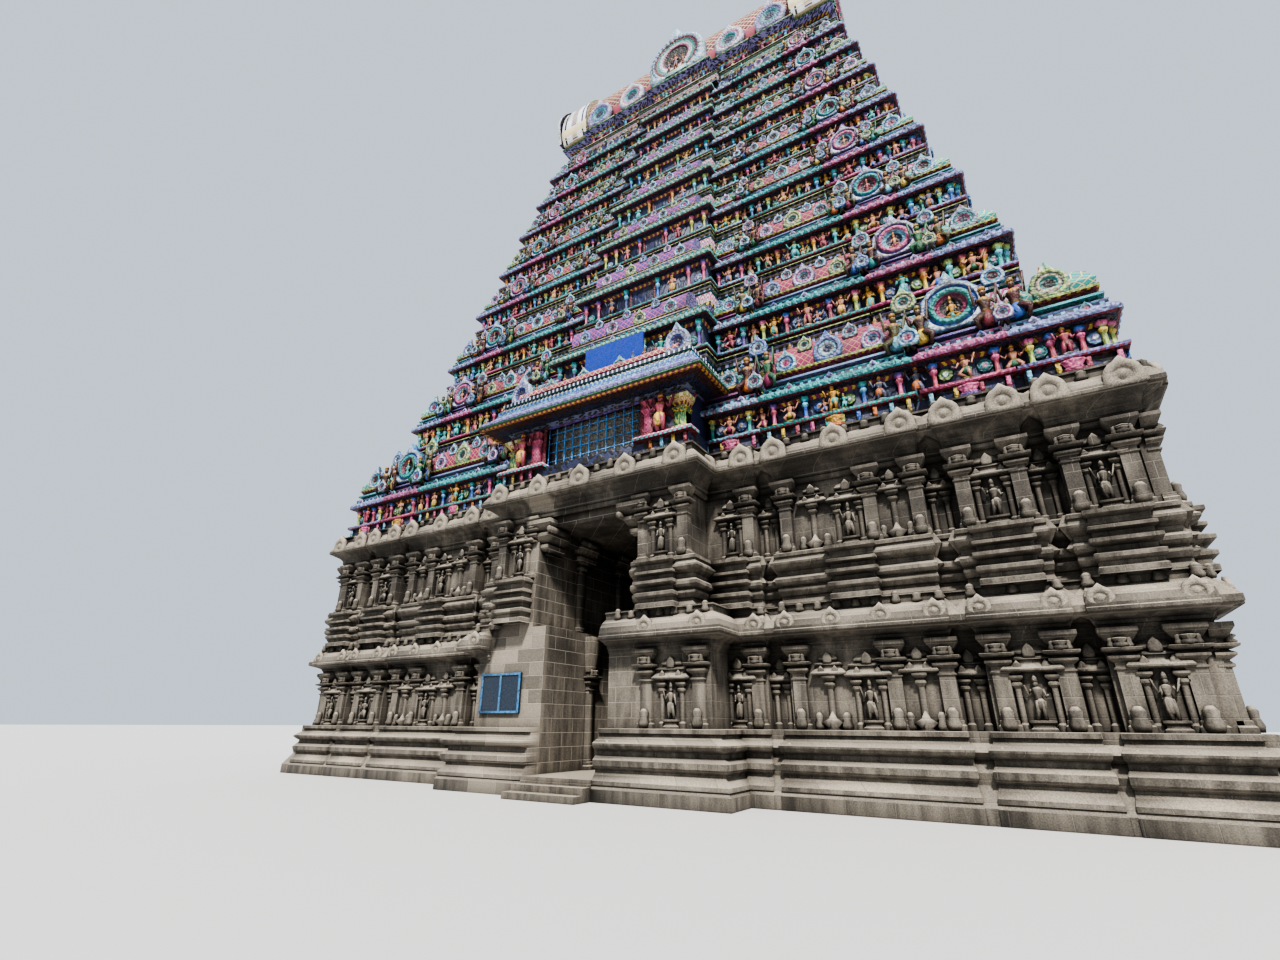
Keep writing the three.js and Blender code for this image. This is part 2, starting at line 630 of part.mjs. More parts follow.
// The great round gables in the middle of the vault, front and back.
function addGreatKudus(group) {
  const vaultRoom = vaultSolid(-GAP, -VAULT_HALF_LENGTH, VAULT_HALF_LENGTH, EAVE_TOP - GAP);
  for (const [side, name] of [[-1, 'front'], [1, 'back']]) {
    const y = side * (GREAT_KUDU_FRONT - GREAT_KUDU_THICKNESS / 2);
    addPiece(group, `great_kudu_${name}`,
      kudu(0, y, EAVE_TOP, GREAT_KUDU_RADIUS, GREAT_KUDU_THICKNESS, false, 20).subtract(vaultRoom),
      materials.gable);
  }
}

// One kalasam: a pot on a stem with a long bud on top.
function kalasam(x, z) {
  const h = KALASAM_HEIGHT;
  const outline = [
    [0, 0], [190, 0], [90, 0.1 * h], [250, 0.34 * h], [80, 0.52 * h], [140, 0.64 * h], [20, h], [0, h],
  ].map(([r, height]) => new THREE.Vector2(r, height));
  const geometry = new THREE.LatheGeometry(outline, 6);
  geometry.rotateX(Math.PI / 2);
  geometry.translate(x, 0, z);
  return asSolid(geometry);
}

function addRidge(group) {
  const bottom = EAVE_TOP + VAULT_HEIGHT + 60 + GAP;
  const kerb = block(-RIDGE_HALF_LENGTH, RIDGE_HALF_LENGTH, -200, 200, bottom, bottom + 60);
  const pitch = (2 * RIDGE_HALF_LENGTH - 600) / (KALASAM_COUNT - 1);
  const kalasams = Array.from({ length: KALASAM_COUNT }, (_, i) => kalasam(
    (i - (KALASAM_COUNT - 1) / 2) * pitch, bottom + 60 - BITE));
  const rod = block(ROD.x - ROD.halfWidth, ROD.x + ROD.halfWidth, -ROD.halfWidth, ROD.halfWidth,
    bottom + 60 - BITE, ROD.top);
  addPiece(group, 'ridge_kalasams', join([kerb, ...kalasams, rod]), materials.brass);
}

// The canopies over the great windows, and the plain panel on the front one.
function addCanopies(group) {
  const { half, face, profile, barrel } = CANOPY;
  const back = storeys[0].shelf;
  const top = profile.at(-1)[1];
  for (const [side, name] of [[-1, 'front'], [1, 'back']]) {
    const slope = course(
      rectangle(-half, half, side < 0 ? -face : back, side < 0 ? -back : face),
      profile.map(([offset, height]) => [offset, height + GAP]),
    ).subtract(middleBlock(side, 2 * half, 0, back, 0, 2 * top));
    const roof = salaRoof(0, side * barrel.centreY, top - BITE, barrel.half, barrel.depth,
      barrel.height, false);
    addPiece(group, `canopy_${name}`, slope.add(roof), materials.lilac);
  }
  addPiece(group, 'name_panel', block(-PANEL.halfWidth, PANEL.halfWidth, -PANEL.face - PANEL.thickness,
    -PANEL.face, top + 2 * GAP, PANEL.top), materials.board);
}

addGraniteBase(tower);
addPassage(tower);
addMainCornice(tower);
addNoticeBoard(tower);
storeys.forEach((storey, i) => {
  addStoreyWalls(tower, storey);
  const above = storeys[i + 1] ? storeyRoom(storeys[i + 1]) : neckRoom();
  addStoreyParapet(tower, storey, above);
});
addCanopies(tower);
addNeck(tower);
addEave(tower);
addVault(tower);
addGreatKudus(tower);
addRidge(tower);

export default tower;
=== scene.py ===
"""Gopuram: the painted surfaces, figures and stone carving of a temple gateway tower."""

import math

import bpy
import numpy as np
from mathutils import Matrix, Vector


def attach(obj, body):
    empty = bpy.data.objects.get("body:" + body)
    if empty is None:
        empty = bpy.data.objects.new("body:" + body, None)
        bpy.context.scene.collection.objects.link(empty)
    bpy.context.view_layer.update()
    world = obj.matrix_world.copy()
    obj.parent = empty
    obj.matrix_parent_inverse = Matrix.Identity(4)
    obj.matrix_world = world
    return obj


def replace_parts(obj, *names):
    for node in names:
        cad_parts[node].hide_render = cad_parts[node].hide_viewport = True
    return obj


bl_info = {"name": "Gopuram", "version": (1, 0, 0), "blender": (4, 5, 0),
           "location": "3D View > Sidebar > Gopuram",
           "description": "Painted mouldings, shrines and figures on a gateway tower", "category": "Object"}

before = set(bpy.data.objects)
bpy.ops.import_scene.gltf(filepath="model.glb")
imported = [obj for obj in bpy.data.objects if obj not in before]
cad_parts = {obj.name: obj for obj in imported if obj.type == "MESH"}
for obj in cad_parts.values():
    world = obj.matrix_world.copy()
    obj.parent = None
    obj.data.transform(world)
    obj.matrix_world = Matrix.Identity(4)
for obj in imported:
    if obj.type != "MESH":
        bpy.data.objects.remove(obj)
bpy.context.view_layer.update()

TURN = 2 * math.pi
SIDES = {"front": 0.0, "back": math.pi, "right": math.pi / 2, "left": -math.pi / 2}
LONG_SIDES, LONG_TURNS = ("front", "back"), (0.0, math.pi)

# Storeys from the lowest: cornice, ledge, half width, half depth, half width of the middle bay, how
# far it stands out and how far it rises, and half width of its window.
STOREYS = (
    (9.99, 9.15, 12.61, 7.68, 3.20, 1.42, 0.65, 1.75),
    (13.80, 12.86, 11.26, 6.33, 2.95, 0.95, 0.30, 0.55),
    (17.19, 16.33, 10.55, 5.38, 2.70, 0.80, 0.30, 0.48),
    (20.36, 19.55, 9.83, 4.72, 2.42, 0.62, 0.30, 0.40),
    (23.09, 22.35, 9.22, 4.08, 2.22, 0.56, 0.30, 0.36),
    (25.83, 25.15, 8.70, 3.46, 2.05, 0.52, 0.30, 0.33),
    (28.30, 27.70, 8.22, 2.87, 1.90, 0.48, 0.30, 0.30),
    (30.43, 29.80, 7.78, 2.44, 1.75, 0.44, 0.30, 0.28))
BAY_OUT = 0.18
# The neck over the storeys: half width, half depth, foot, and its shrines by place, half width and
# distance out. The vault's foot stands over it.
NECK_WIDTH, NECK_DEPTH, NECK_FOOT = 7.5, 1.95, 31.9
NECK_SHRINES = ((-5.05, 0.7, 2.3), (-2.9, 0.7, 2.3), (0.0, 1.5, 2.55), (2.9, 0.7, 2.3), (5.05, 0.7, 2.3))
VAULT_FOOT, PETAL_CENTRE = 33.25, 1.5
# How far a surface keeps clear of the solid behind it.
CLEAR = 0.006
NEAR_END, SALA_BAY, PANJARA_BAY, CORNER_START = 0.37, (0.413, 0.685), (0.733, 0.852), 0.892


def linear(code):
    """Linear red, green and blue from a six-figure colour code."""
    values = np.array([int(code[i:i + 2], 16) for i in (0, 2, 4)]) / 255
    return np.where(values <= 0.04045, values / 12.92, ((values + 0.055) / 1.055) ** 2.4)


# The blue of the bars and the grey of the netting are partly painted light: made lighter for the light
# reflected under the great canopy.
PAINT = {name: linear(code) for name, code in {
    "teal": "2a9c98", "blue": "2a62b0", "sky": "74b4cc", "pink": "c8608c", "magenta": "8a1c50",
    "crimson": "74182a", "yellow": "ccb04c", "lime": "98ac5c", "cream": "d6c8a4", "white": "d6d8dc",
    "lilac": "8c86bc", "violet": "54408a", "orange": "c46c28", "skin": "b9806a", "navy": "131c42",
    "indigo": "1c2850", "green": "266a46", "black": "0d0c10", "gold": "b88a38", "rose": "a8485c",
    "brown": "4a2c20", "olive": "4c4a26", "maroon": "4a1618", "slate": "59627c", "bars": "4f9ee0",
    "netting": "8a8478", "sign": "163a94", "board": "16283a", "frame": "3c74a0", "stone": "a79d8e",
    "soot": "38342f",
}.items()}


def tones(*names):
    """The named colours as the rows of an array."""
    return np.array([PAINT[name] for name in names])


# Sizes in metres, but gable, which is the radius of a round gable over its roof's height.
SIZE = {"pillar": 0.2, "wave": 0.07, "gable": 0.3, "bar": 0.032, "post": 0.1, "stone_gable": 0.19}


def paint_property(key, label, use):
    """A colour that can be changed in the sidebar."""
    return bpy.props.FloatVectorProperty(name=label, description=use, default=tuple(PAINT[key]),
                                         subtype="COLOR", size=3, min=0, max=1)


def length_property(key, label, use):
    """A size in metres that can be changed in the sidebar."""
    return bpy.props.FloatProperty(name=label, description=use, default=SIZE[key], min=0.01, max=0.5,
                                   unit="LENGTH")


class GopuramPaint(bpy.types.PropertyGroup):
    """Main colours of the paint and stone."""

    teal: paint_property("teal", "Teal", "Cornices and ledges of the long bays")
    pink: paint_property("pink", "Pink", "Cornices of the gabled bays, pillars and roof lattices")
    lilac: paint_property("lilac", "Lilac", "Cornices of the corners and second cornices")
    magenta: paint_property("magenta", "Magenta", "Roofs, steps and undersides")
    navy: paint_property("navy", "Navy", "Panels behind the figures")
    yellow: paint_property("yellow", "Yellow", "Drops, capitals and cloths")
    skin: paint_property("skin", "Skin", "Most of the figures")
    sign: paint_property("sign", "Sign", "The plain panel over the great window")
    # Clean granite also serves as painted sunlight on faces that look up, and sooty granite as painted shade
    # under the cornices.
    stone: paint_property("stone", "Clean granite", "Granite where it faces up or stays clean")
    soot: paint_property("soot", "Sooty granite", "Granite under the ledges")


class GopuramSizes(bpy.types.PropertyGroup):
    """Sizes of the parts that repeat."""

    pillar: length_property("pillar", "Pillar", "Width of a painted pillar")
    wave: length_property("wave", "Wave", "Depth of the waves of a painted cornice")
    gable: bpy.props.FloatProperty(
        name="Round gable", description="Radius of a round gable over its roof's height",
        default=SIZE["gable"], min=0.1, max=0.5, subtype="FACTOR")
    bar: length_property("bar", "Bar", "Thickness of the great window's bars")
    post: length_property("post", "Post", "Width of the posts at the foot of the first storey")
    stone_gable: length_property("stone_gable", "Stone gable", "Radius of the round gables of granite")


class GopuramStage(bpy.types.PropertyGroup):
    """Light and camera."""

    sun: bpy.props.FloatProperty(name="Sun", description="Strength of the key light", default=6.0, min=0)
    sky: bpy.props.FloatProperty(name="Sky", description="Strength of the soft light", default=0.72, min=0)
    eye: bpy.props.FloatProperty(name="Eye height", description="Height of the camera over the ground",
                                 default=1.65, min=0.5, unit="LENGTH")


def take_settings(context, *nodes):
    """Reads the colours and sizes set in the sidebar; raises an error if a node of the masonry is
    missing."""
    for name in nodes:
        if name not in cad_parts:
            raise RuntimeError(f"{name} isn't in the scene")
    for group, values in ((context.scene.gopuram_paint, PAINT), (context.scene.gopuram_sizes, SIZE)):
        for name in group.bl_rna.properties.keys():
            if name in values:
                value = getattr(group, name)
                values[name] = value if isinstance(value, float) else np.array(value)


# Shapes as arrays: points, faces of four (-1 in the fourth place for three), colour zones

def grid_faces(rows, columns, closed):
    """Quads between neighbouring rows and columns of a grid; closed joins the last column to the first."""
    i, j = np.meshgrid(np.arange(rows - 1), np.arange(columns if closed else columns - 1), indexing="ij")
    i, j = i.ravel(), j.ravel()
    k = (j + 1) % columns
    return np.stack([i * columns + j, i * columns + k, (i + 1) * columns + k, (i + 1) * columns + j], 1)


def rounded(rings, zones, sides):
    """Closes a stack of rings, given as points (rows, sides, 3), with a fan to the middle of each end."""
    rows = len(rings)
    ends = np.stack([rings[0].mean(0), rings[-1].mean(0)])
    points = np.concatenate([rings.reshape(-1, 3), ends])
    low = np.arange(sides)
    high = low + (rows - 1) * sides
    none = np.full(sides, -1)
    fans = np.concatenate([np.stack([np.roll(low, -1), low, np.full(sides, rows * sides), none], 1),
                           np.stack([high, np.roll(high, -1), np.full(sides, rows * sides + 1), none], 1)])
    faces = np.concatenate([grid_faces(rows, sides, True), fans])
    zone = np.concatenate([np.repeat(zones, sides), [zones[0], zones[-1]]])
    return points, faces, zone


def lathe(profile, sides, zones=None, flat=1.0, square=2.0, centre=(0, 0)):
    """Radius and height pairs turned about Z. The plan is |x|^square + |y|^square = r^square, with y
    pressed by flat."""
    profile = np.asarray(profile, float)
    angle = np.arange(sides) * TURN / sides + math.pi / sides
    c, s = np.cos(angle), np.sin(angle)
    reach = (np.abs(c) ** square + np.abs(s) ** square) ** (-1 / square)
    plan = np.stack([c * reach, s * reach * flat], 1)
    rings = np.concatenate([profile[:, None, :1] * plan[None] + np.asarray(centre),
                            np.broadcast_to(profile[:, None, 1:2], (len(profile), sides, 1))], 2)
    return rounded(rings, np.zeros(len(profile), int) if zones is None else np.asarray(zones), sides)


def tube(path, radii, sides=5, zone=0):
    """Rings of the given radii carried along a path, square to it."""
    path, radii = np.asarray(path, float), np.asarray(radii, float)
    along = np.gradient(path, axis=0)
    along /= np.linalg.norm(along, axis=1, keepdims=True)
    across = np.cross(along, [0.13, 1.0, 0.21])
    across /= np.linalg.norm(across, axis=1, keepdims=True)
    third = np.cross(along, across)
    angle = np.arange(sides) * TURN / sides
    rings = path[:, None] + radii[:, None, None] * (
        across[:, None] * np.cos(angle)[None, :, None] + third[:, None] * np.sin(angle)[None, :, None])
    return rounded(rings, np.full(len(path), zone), sides)


def box(low, high, zone=0):
    """The eight corners and six faces of a box."""
    (x0, y0, z0), (x1, y1, z1) = low, high
    points = np.array([[x0, y0, z0], [x1, y0, z0], [x1, y1, z0], [x0, y1, z0],
                       [x0, y0, z1], [x1, y0, z1], [x1, y1, z1], [x0, y1, z1]], float)
    faces = np.array([[0, 3, 2, 1], [4, 5, 6, 7], [0, 1, 5, 4], [1, 2, 6, 5], [2, 3, 7, 6], [3, 0, 4, 7]])
    return points, faces, np.full(8, zone)


def together(*shapes):
    """Several shapes as one."""
    counts = np.cumsum([0] + [len(shape[0]) for shape in shapes[:-1]])
    faces = [np.where(shape[1] < 0, -1, shape[1] + n) for shape, n in zip(shapes, counts)]
    return (np.concatenate([s[0] for s in shapes]), np.concatenate(faces),
            np.concatenate([s[2] for s in shapes]))


class Bag:
    """Gathers surfaces with their colours and pattern coordinates, and makes them one mesh."""

    def __init__(self):
        self.parts = []
        self.count = 0

    def add(self, points, faces, paint, trim=None, pattern=None, material=0):
        """Adds points and faces; paint and trim are colours per point, or one for all."""
        n = len(points)
        paint = np.broadcast_to(paint, (n, 3))
        trim = paint if trim is None else np.broadcast_to(trim, (n, 3))
        pattern = np.zeros((n, 2)) if pattern is None else pattern
        moved = np.where(faces < 0, -1, faces + self.count)
        self.parts.append((points, moved, paint, trim, pattern, np.full(len(faces), material)))
        self.count += n

    def stamp(self, shape, rows, paints, material=0):
        """Sets a shape at many places. A row holds distance along the side, distance out from the
        middle plane, height, three sizes, the side's turn and the shape's own turn."""
        points, faces, zone = shape
        rows = np.asarray(rows, float).reshape(-1, 8)
        if not len(rows):
            return
        k, n = len(rows), len(points)
        local = points[None] * rows[:, None, 3:6]
        own = rows[:, 7][:, None]
        x = local[..., 0] * np.cos(own) - local[..., 1] * np.sin(own) + rows[:, :1]
        y = local[..., 0] * np.sin(own) + local[..., 1] * np.cos(own) - rows[:, 1:2]
        turn = rows[:, 6][:, None]
        placed = np.stack([x * np.cos(turn) - y * np.sin(turn), x * np.sin(turn) + y * np.cos(turn),
                           local[..., 2] + rows[:, 2:3]], 2)
        paints = np.broadcast_to(paints, (k,) + np.shape(paints)[-2:])
        shifted = faces[None] + (np.arange(k) * n)[:, None, None]
        shifted = np.where(faces[None] < 0, -1, shifted)
        self.add(placed.reshape(-1, 3), shifted.reshape(-1, 4), paints[:, zone].reshape(-1, 3),
                 material=material)

    def piece(self, name, materials, slot):
        """Makes the mesh and its object, which rides on the tower."""
        points, faces, paint, trim, pattern, material = (np.concatenate(a) for a in zip(*self.parts))
        used = faces >= 0
        loops = faces[used]
        starts = np.concatenate([[0], np.cumsum(used.sum(1))[:-1]])
        mesh = bpy.data.meshes.new(name)
        mesh.vertices.add(len(points))
        mesh.vertices.foreach_set("co", points.astype(np.float32).ravel())
        mesh.loops.add(len(loops))
        mesh.loops.foreach_set("vertex_index", loops.astype(np.int32))
        mesh.polygons.add(len(faces))
        mesh.polygons.foreach_set("loop_start", starts.astype(np.int32))
        for key in materials:
            mesh.materials.append(finish(key))
        mesh.polygons.foreach_set("material_index", material.astype(np.int32))
        for label, colours in (("paint", paint), ("trim", trim)):
            layer = mesh.attributes.new(label, "FLOAT_COLOR", "POINT")
            rgba = np.concatenate([colours, np.ones((len(colours), 1))], 1)
            layer.data.foreach_set("color", rgba.astype(np.float32).ravel())
        mesh.uv_layers.new(name="pattern").uv.foreach_set("vector", pattern[loops].astype(np.float32).ravel())
        mesh.update(calc_edges=True)
        mesh.validate()
        item = bpy.data.objects.new(name, mesh)
        bpy.context.scene.collection.objects.link(item)
        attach(item, "root")
        return item


# Materials

MADE = {}


def finish(key):
    """The material of that name, made once."""
    if key not in MADE:
        MADE[key] = MAKERS[key](key)
    return MADE[key]


class Shading:
    """Short ways to add nodes to one material."""

    def __init__(self, name):
        self.material = bpy.data.materials.new(name)
        self.material.use_nodes = True
        self.tree = self.material.node_tree
        self.surface = self.tree.nodes["Principled BSDF"]

    def node(self, kind, **inputs):
        """A new node whose inputs, by name or as i and a number, are linked or set."""
        made = self.tree.nodes.new(kind)
        for key, value in inputs.items():
            socket = made.inputs[int(key[1:])] if key[0] == "i" and key[1:].isdigit() else made.inputs[key]
            if isinstance(value, bpy.types.NodeSocket):
                self.tree.links.new(value, socket)
            else:
                socket.default_value = value
        return made

    def times(self, a, b):
        """The product of two values."""
        return self.math("MULTIPLY", a, b)

    def math(self, operation, a, b=0.0, c=0.0):
        """The result of a sum on up to three values."""
        made = self.node("ShaderNodeMath", i0=a, i1=b, i2=c)
        made.operation = operation
        return made.outputs[0]

    def mix(self, share, a, b, blend="MIX"):
        """Colour a, with as much of colour b over it as share says."""
        made = self.tree.nodes.new("ShaderNodeMix")
        made.data_type = "RGBA"
        made.blend_type = blend
        for index, value in ((0, share), (6, a), (7, b)):
            if isinstance(value, bpy.types.NodeSocket):
                self.tree.links.new(value, made.inputs[index])
            else:
                made.inputs[index].default_value = value if index == 0 else (*value, 1.0)
        return made.outputs[2]

    def ramp(self, value, low, high):
        """0 at low and below, 1 at high and above."""
        made = self.node("ShaderNodeMapRange", i0=value, i1=low, i2=high)
        made.clamp = True
        return made.outputs[0]

    def noise(self, vector, scale, detail=4.0, stretch=(1, 1, 1)):
        """Cloudy values about 0.5, drawn out where stretch is under 1."""
        if stretch != (1, 1, 1):
            vector = self.node("ShaderNodeMapping", Vector=vector, Scale=stretch).outputs[0]
        return self.node("ShaderNodeTexNoise", Vector=vector, Scale=scale, Detail=detail).outputs["Fac"]

    def hollow_shade(self, reach, open_share, closed_share):
        """Painted shade: 1 in deep corners and 0 in the open, from how much is hidden within reach."""
        made = self.node("ShaderNodeAmbientOcclusion", Distance=reach)
        made.samples = 4
        return self.ramp(made.outputs["AO"], open_share, closed_share)

    def place(self):
        """The point's place in the tower's own frame."""
        return self.tree.nodes.new("ShaderNodeTexCoord").outputs["Object"]

    def colour(self, label):
        """The colours that the mesh carries under a name."""
        made = self.tree.nodes.new("ShaderNodeAttribute")
        made.attribute_name = label
        return made.outputs["Color"]

    def finish(self, colour, roughness, height=None, distance=0.02, metal=0.0):
        """Joins colour, roughness and relief to the surface and gives the material."""
        self.tree.links.new(colour, self.surface.inputs["Base Color"])
        if isinstance(roughness, bpy.types.NodeSocket):
            self.tree.links.new(roughness, self.surface.inputs["Roughness"])
        else:
            self.surface.inputs["Roughness"].default_value = roughness
        self.surface.inputs["Metallic"].default_value = metal
        if height is not None:
            bump = self.node("ShaderNodeBump", Height=height, Distance=distance, Strength=0.8)
            self.tree.links.new(bump.outputs[0], self.surface.inputs["Normal"])
        return self.material


def weathered_and_shaded(shade, colour, strength=0.55):
    """Rain streaks, soot, painted shade in the hollows and dust over a paint colour."""
    place = shade.place()
    soot = shade.ramp(shade.noise(place, 1.7, 6.0, (1, 1, 0.45)), 0.45, 0.72)
    streaks = shade.ramp(shade.noise(place, 9.0, 3.0, (1, 1, 0.12)), 0.5, 0.75)
    dark = shade.times(shade.math("MAXIMUM", soot, shade.times(streaks, 0.7)), strength)
    # Painted shade: the colour darkens towards near black in corners and recesses.
    dark = shade.math("MAXIMUM", dark, shade.times(shade.hollow_shade(0.35, 0.8, 0.25), 0.65))
    stained_and_shaded = shade.mix(dark, colour, (0.03, 0.026, 0.026))
    fine = shade.ramp(shade.noise(place, 24.0, 4.0), 0.35, 0.7)
    return shade.mix(shade.times(fine, 0.07), stained_and_shaded, (0.5, 0.46, 0.4)), fine


def painted(key):
    """Paint on stucco in the piece's own colours, over small rounded leaves, with painted shade in the
    hollows between them.
    """
    shade = Shading(key)
    carving = shade.node("ShaderNodeTexVoronoi", Vector=shade.place(), Scale=15.0)
    carving.feature = "SMOOTH_F1"
    leaf = shade.ramp(carving.outputs["Distance"], 0.62, 0.25)
    # Painted shade: the paint is darkened in the hollows between the leaves.
    leaf_shade = shade.mix(leaf, (0.14, 0.12, 0.14), (1.0, 1.0, 1.0))
    colour, fine = weathered_and_shaded(shade, shade.mix(0.6, shade.colour("paint"), leaf_shade, "MULTIPLY"))
    return shade.finish(colour, 0.55, shade.math("ADD", leaf, shade.times(fine, 0.2)), 0.03)


def smooth_paint(key):
    """Paint on the smooth stucco of figures and pillars, with painted shade in its folds."""
    shade = Shading(key)
    folds = shade.ramp(shade.noise(shade.place(), 16.0, 3.0, (1, 1, 0.5)), 0.36, 0.5)
    # Painted shade: the paint is darkened in the folds.
    deep = shade.mix(folds, (0.2, 0.16, 0.15), (1.0, 1.0, 1.0))
    colour, fine = weathered_and_shaded(shade, shade.mix(0.6, shade.colour("paint"), deep, "MULTIPLY"), 0.4)
    return shade.finish(colour, 0.5, shade.math("ADD", folds, shade.times(fine, 0.3)), 0.015)


def from_middle(shade, value):
    """How far a value lies from half way between two whole numbers."""
    return shade.math("ABSOLUTE", shade.math("SUBTRACT", shade.math("FRACT", value), 0.5))


def distance(shade, a, b):
    """The root of the sum of two squares."""
    return shade.math("SQRT", shade.math("ADD", shade.math("POWER", a, 2.0), shade.math("POWER", b, 2.0)))


def patterned(kind):
    """A painted band whose two colours follow a pattern: u counts repeats along it, v runs from 0 at
    its lower edge to 1 at its upper edge."""
    shade = Shading(kind)
    uv = shade.tree.nodes.new("ShaderNodeUVMap")
    uv.uv_map = "pattern"
    split = shade.node("ShaderNodeSeparateXYZ", Vector=uv.outputs[0])
    u, v = split.outputs[0], split.outputs[1]
    across = from_middle(shade, u)
    if kind == "dentils":
        mask = shade.ramp(across, 0.33, 0.27)
    elif kind == "arches":
        rings = from_middle(shade, shade.times(distance(shade, shade.times(across, 2.1), v), 2.0))
        mask = shade.ramp(rings, 0.2, 0.3)
    elif kind == "drops":
        height = shade.times(shade.math("SUBTRACT", v, 0.5), 0.75)
        mask = shade.ramp(distance(shade, across, height), 0.36, 0.28)
    elif kind == "lattice":
        lines = [from_middle(shade, shade.math(way, u, v)) for way in ("ADD", "SUBTRACT")]
        mask = shade.ramp(shade.math("MAXIMUM", *lines), 0.43, 0.39)
    else:
        scroll = shade.node("ShaderNodeTexVoronoi", Vector=uv.outputs[0], Scale=3.2)
        scroll.feature = "SMOOTH_F1"
        mask = shade.ramp(scroll.outputs["Distance"], 0.5, 0.36)
    colour, fine = weathered_and_shaded(shade, shade.mix(mask, shade.colour("trim"), shade.colour("paint")))
    return shade.finish(colour, 0.55, shade.math("ADD", mask, shade.times(fine, 0.12)), 0.035)


# The blocks of the granite and the joints between them, in metres, and the colour of the joints.
BLOCK_LENGTH, COURSE_HEIGHT, JOINT, JOINT_COLOUR = 0.95, 0.36, 0.012, (0.36, 0.32, 0.265)


def granite(key):
    """Weathered granite: pale where it faces up, as dust and as painted sunlight; darker under the cornices,
    as rain stains and as painted shade; near black in deep corners as painted shade; with the pale joints
    of its courses."""
    shade = Shading(key)
    place = shade.place()
    xyz = shade.node("ShaderNodeSeparateXYZ", Vector=place)
    x, y, z = xyz.outputs[0], xyz.outputs[1], xyz.outputs[2]
    flat = shade.node("ShaderNodeCombineXYZ", X=shade.math("ADD", x, y), Y=z)
    bricks = shade.node("ShaderNodeTexBrick", Vector=flat.outputs[0], Scale=1.0)
    for label, value in (("Mortar Size", JOINT), ("Mortar Smooth", 0.4), ("Brick Width", BLOCK_LENGTH),
                         ("Row Height", COURSE_HEIGHT), ("Color1", (0, 0, 0, 1)), ("Color2", (1, 1, 1, 1))):
        bricks.inputs[label].default_value = value
    block = shade.node("ShaderNodeSeparateXYZ", Vector=bricks.outputs["Color"]).outputs[0]
    joint = bricks.outputs["Fac"]
    normal = shade.node("ShaderNodeNewGeometry").outputs["Normal"]
    # Faces that look up are paler: partly dust, partly painted sunlight.
    facing_up = shade.ramp(shade.node("ShaderNodeSeparateXYZ", Vector=normal).outputs[2], 0.15, 0.75)
    patches = shade.ramp(shade.noise(place, 0.9, 6.0), 0.4, 0.62)
    streaks = shade.ramp(shade.noise(place, 5.0, 4.0, (1, 1, 0.18)), 0.38, 0.66)
    grain = shade.noise(place, 38.0, 5.0)
    pale = shade.mix(shade.ramp(grain, 0.3, 0.7), PAINT["stone"] * 0.72, PAINT["stone"] * 1.15)
    deep = shade.mix(shade.ramp(grain, 0.3, 0.7), PAINT["soot"] * 0.7, PAINT["soot"] * 2.1)
    # A copy of the granite darkened as painted shadow, for the backs of niches.
    if key == "granite_shadow":
        deep = shade.mix(shade.ramp(grain, 0.3, 0.7), PAINT["soot"] * 0.15, PAINT["soot"] * 0.5)
    # A copy of the granite lightened as painted light, for the round gables and studs along the mouldings.
    if key == "granite_painted_light":
        deep = shade.mix(shade.ramp(grain, 0.3, 0.7), PAINT["stone"] * 0.3, PAINT["stone"] * 0.8)
    # The lower mouldings and the foot of each wall are lighter than the parts under the cornices: partly
    # cleaner stone, partly painted shade under the cornices and painted light near the ground.
    lower = shade.times(shade.ramp(z, 6.3, 5.4), shade.ramp(z, 3.5, 4.4))
    lower = shade.math("MAXIMUM", lower, shade.ramp(z, 3.9, 2.6))
    washed_and_lit = shade.math("MAXIMUM", patches, lower)
    clean_and_lit = shade.times(washed_and_lit, shade.math("SUBTRACT", 1.0, shade.times(streaks, 0.8)))
    share = shade.math("MAXIMUM", shade.times(clean_and_lit, 0.42), shade.times(facing_up, 0.8))
    # The mended jamb left of the passage has cleaner blocks and wider joints; it narrows upwards.
    edge = shade.math("SUBTRACT", x, shade.times(shade.ramp(z, 3.3, 7.0), 1.2))
    mended = shade.times(shade.ramp(edge, -3.32, -3.2), shade.ramp(x, -1.0, -1.2))
    mended = shade.times(mended, shade.ramp(y, -8.9, -9.05))
    beside = shade.ramp(shade.math("ABSOLUTE", x), 1.95, 1.85)
    inside = shade.times(beside, shade.ramp(shade.math("ABSOLUTE", y), 9.2, 9.1))
    share = shade.times(share, shade.math("ADD", 0.8, shade.times(block, 0.35)))
    blocks = shade.math("ADD", 0.18, shade.times(block, 0.5))
    share = shade.math("MAXIMUM", share, shade.times(mended, blocks))
    stone = shade.mix(share, deep, pale)
    wide = shade.times(shade.math("MAXIMUM", mended, inside), 0.55)
    opened = shade.times(joint, shade.math("ADD", 0.3, wide))
    stone = shade.mix(opened, stone, JOINT_COLOUR)
    # Painted shade: near black in deep corners and recesses.
    stone = shade.mix(shade.times(shade.hollow_shade(0.5, 0.8, 0.3), 0.8), stone, (0.012, 0.01, 0.008))
    height = shade.math("SUBTRACT", shade.times(grain, 0.35), joint)
    return shade.finish(stone, 0.88, height, 0.02)


def plain(key, colour, roughness=0.5, metal=0.0, grime=0.3):
    """One colour with light grime and painted shade in its hollows."""
    shade = Shading(key)
    made = shade.mix(0.0, tuple(colour), tuple(colour))
    dirty, fine = weathered_and_shaded(shade, made, grime)
    return shade.finish(dirty, roughness, fine, 0.003, metal)


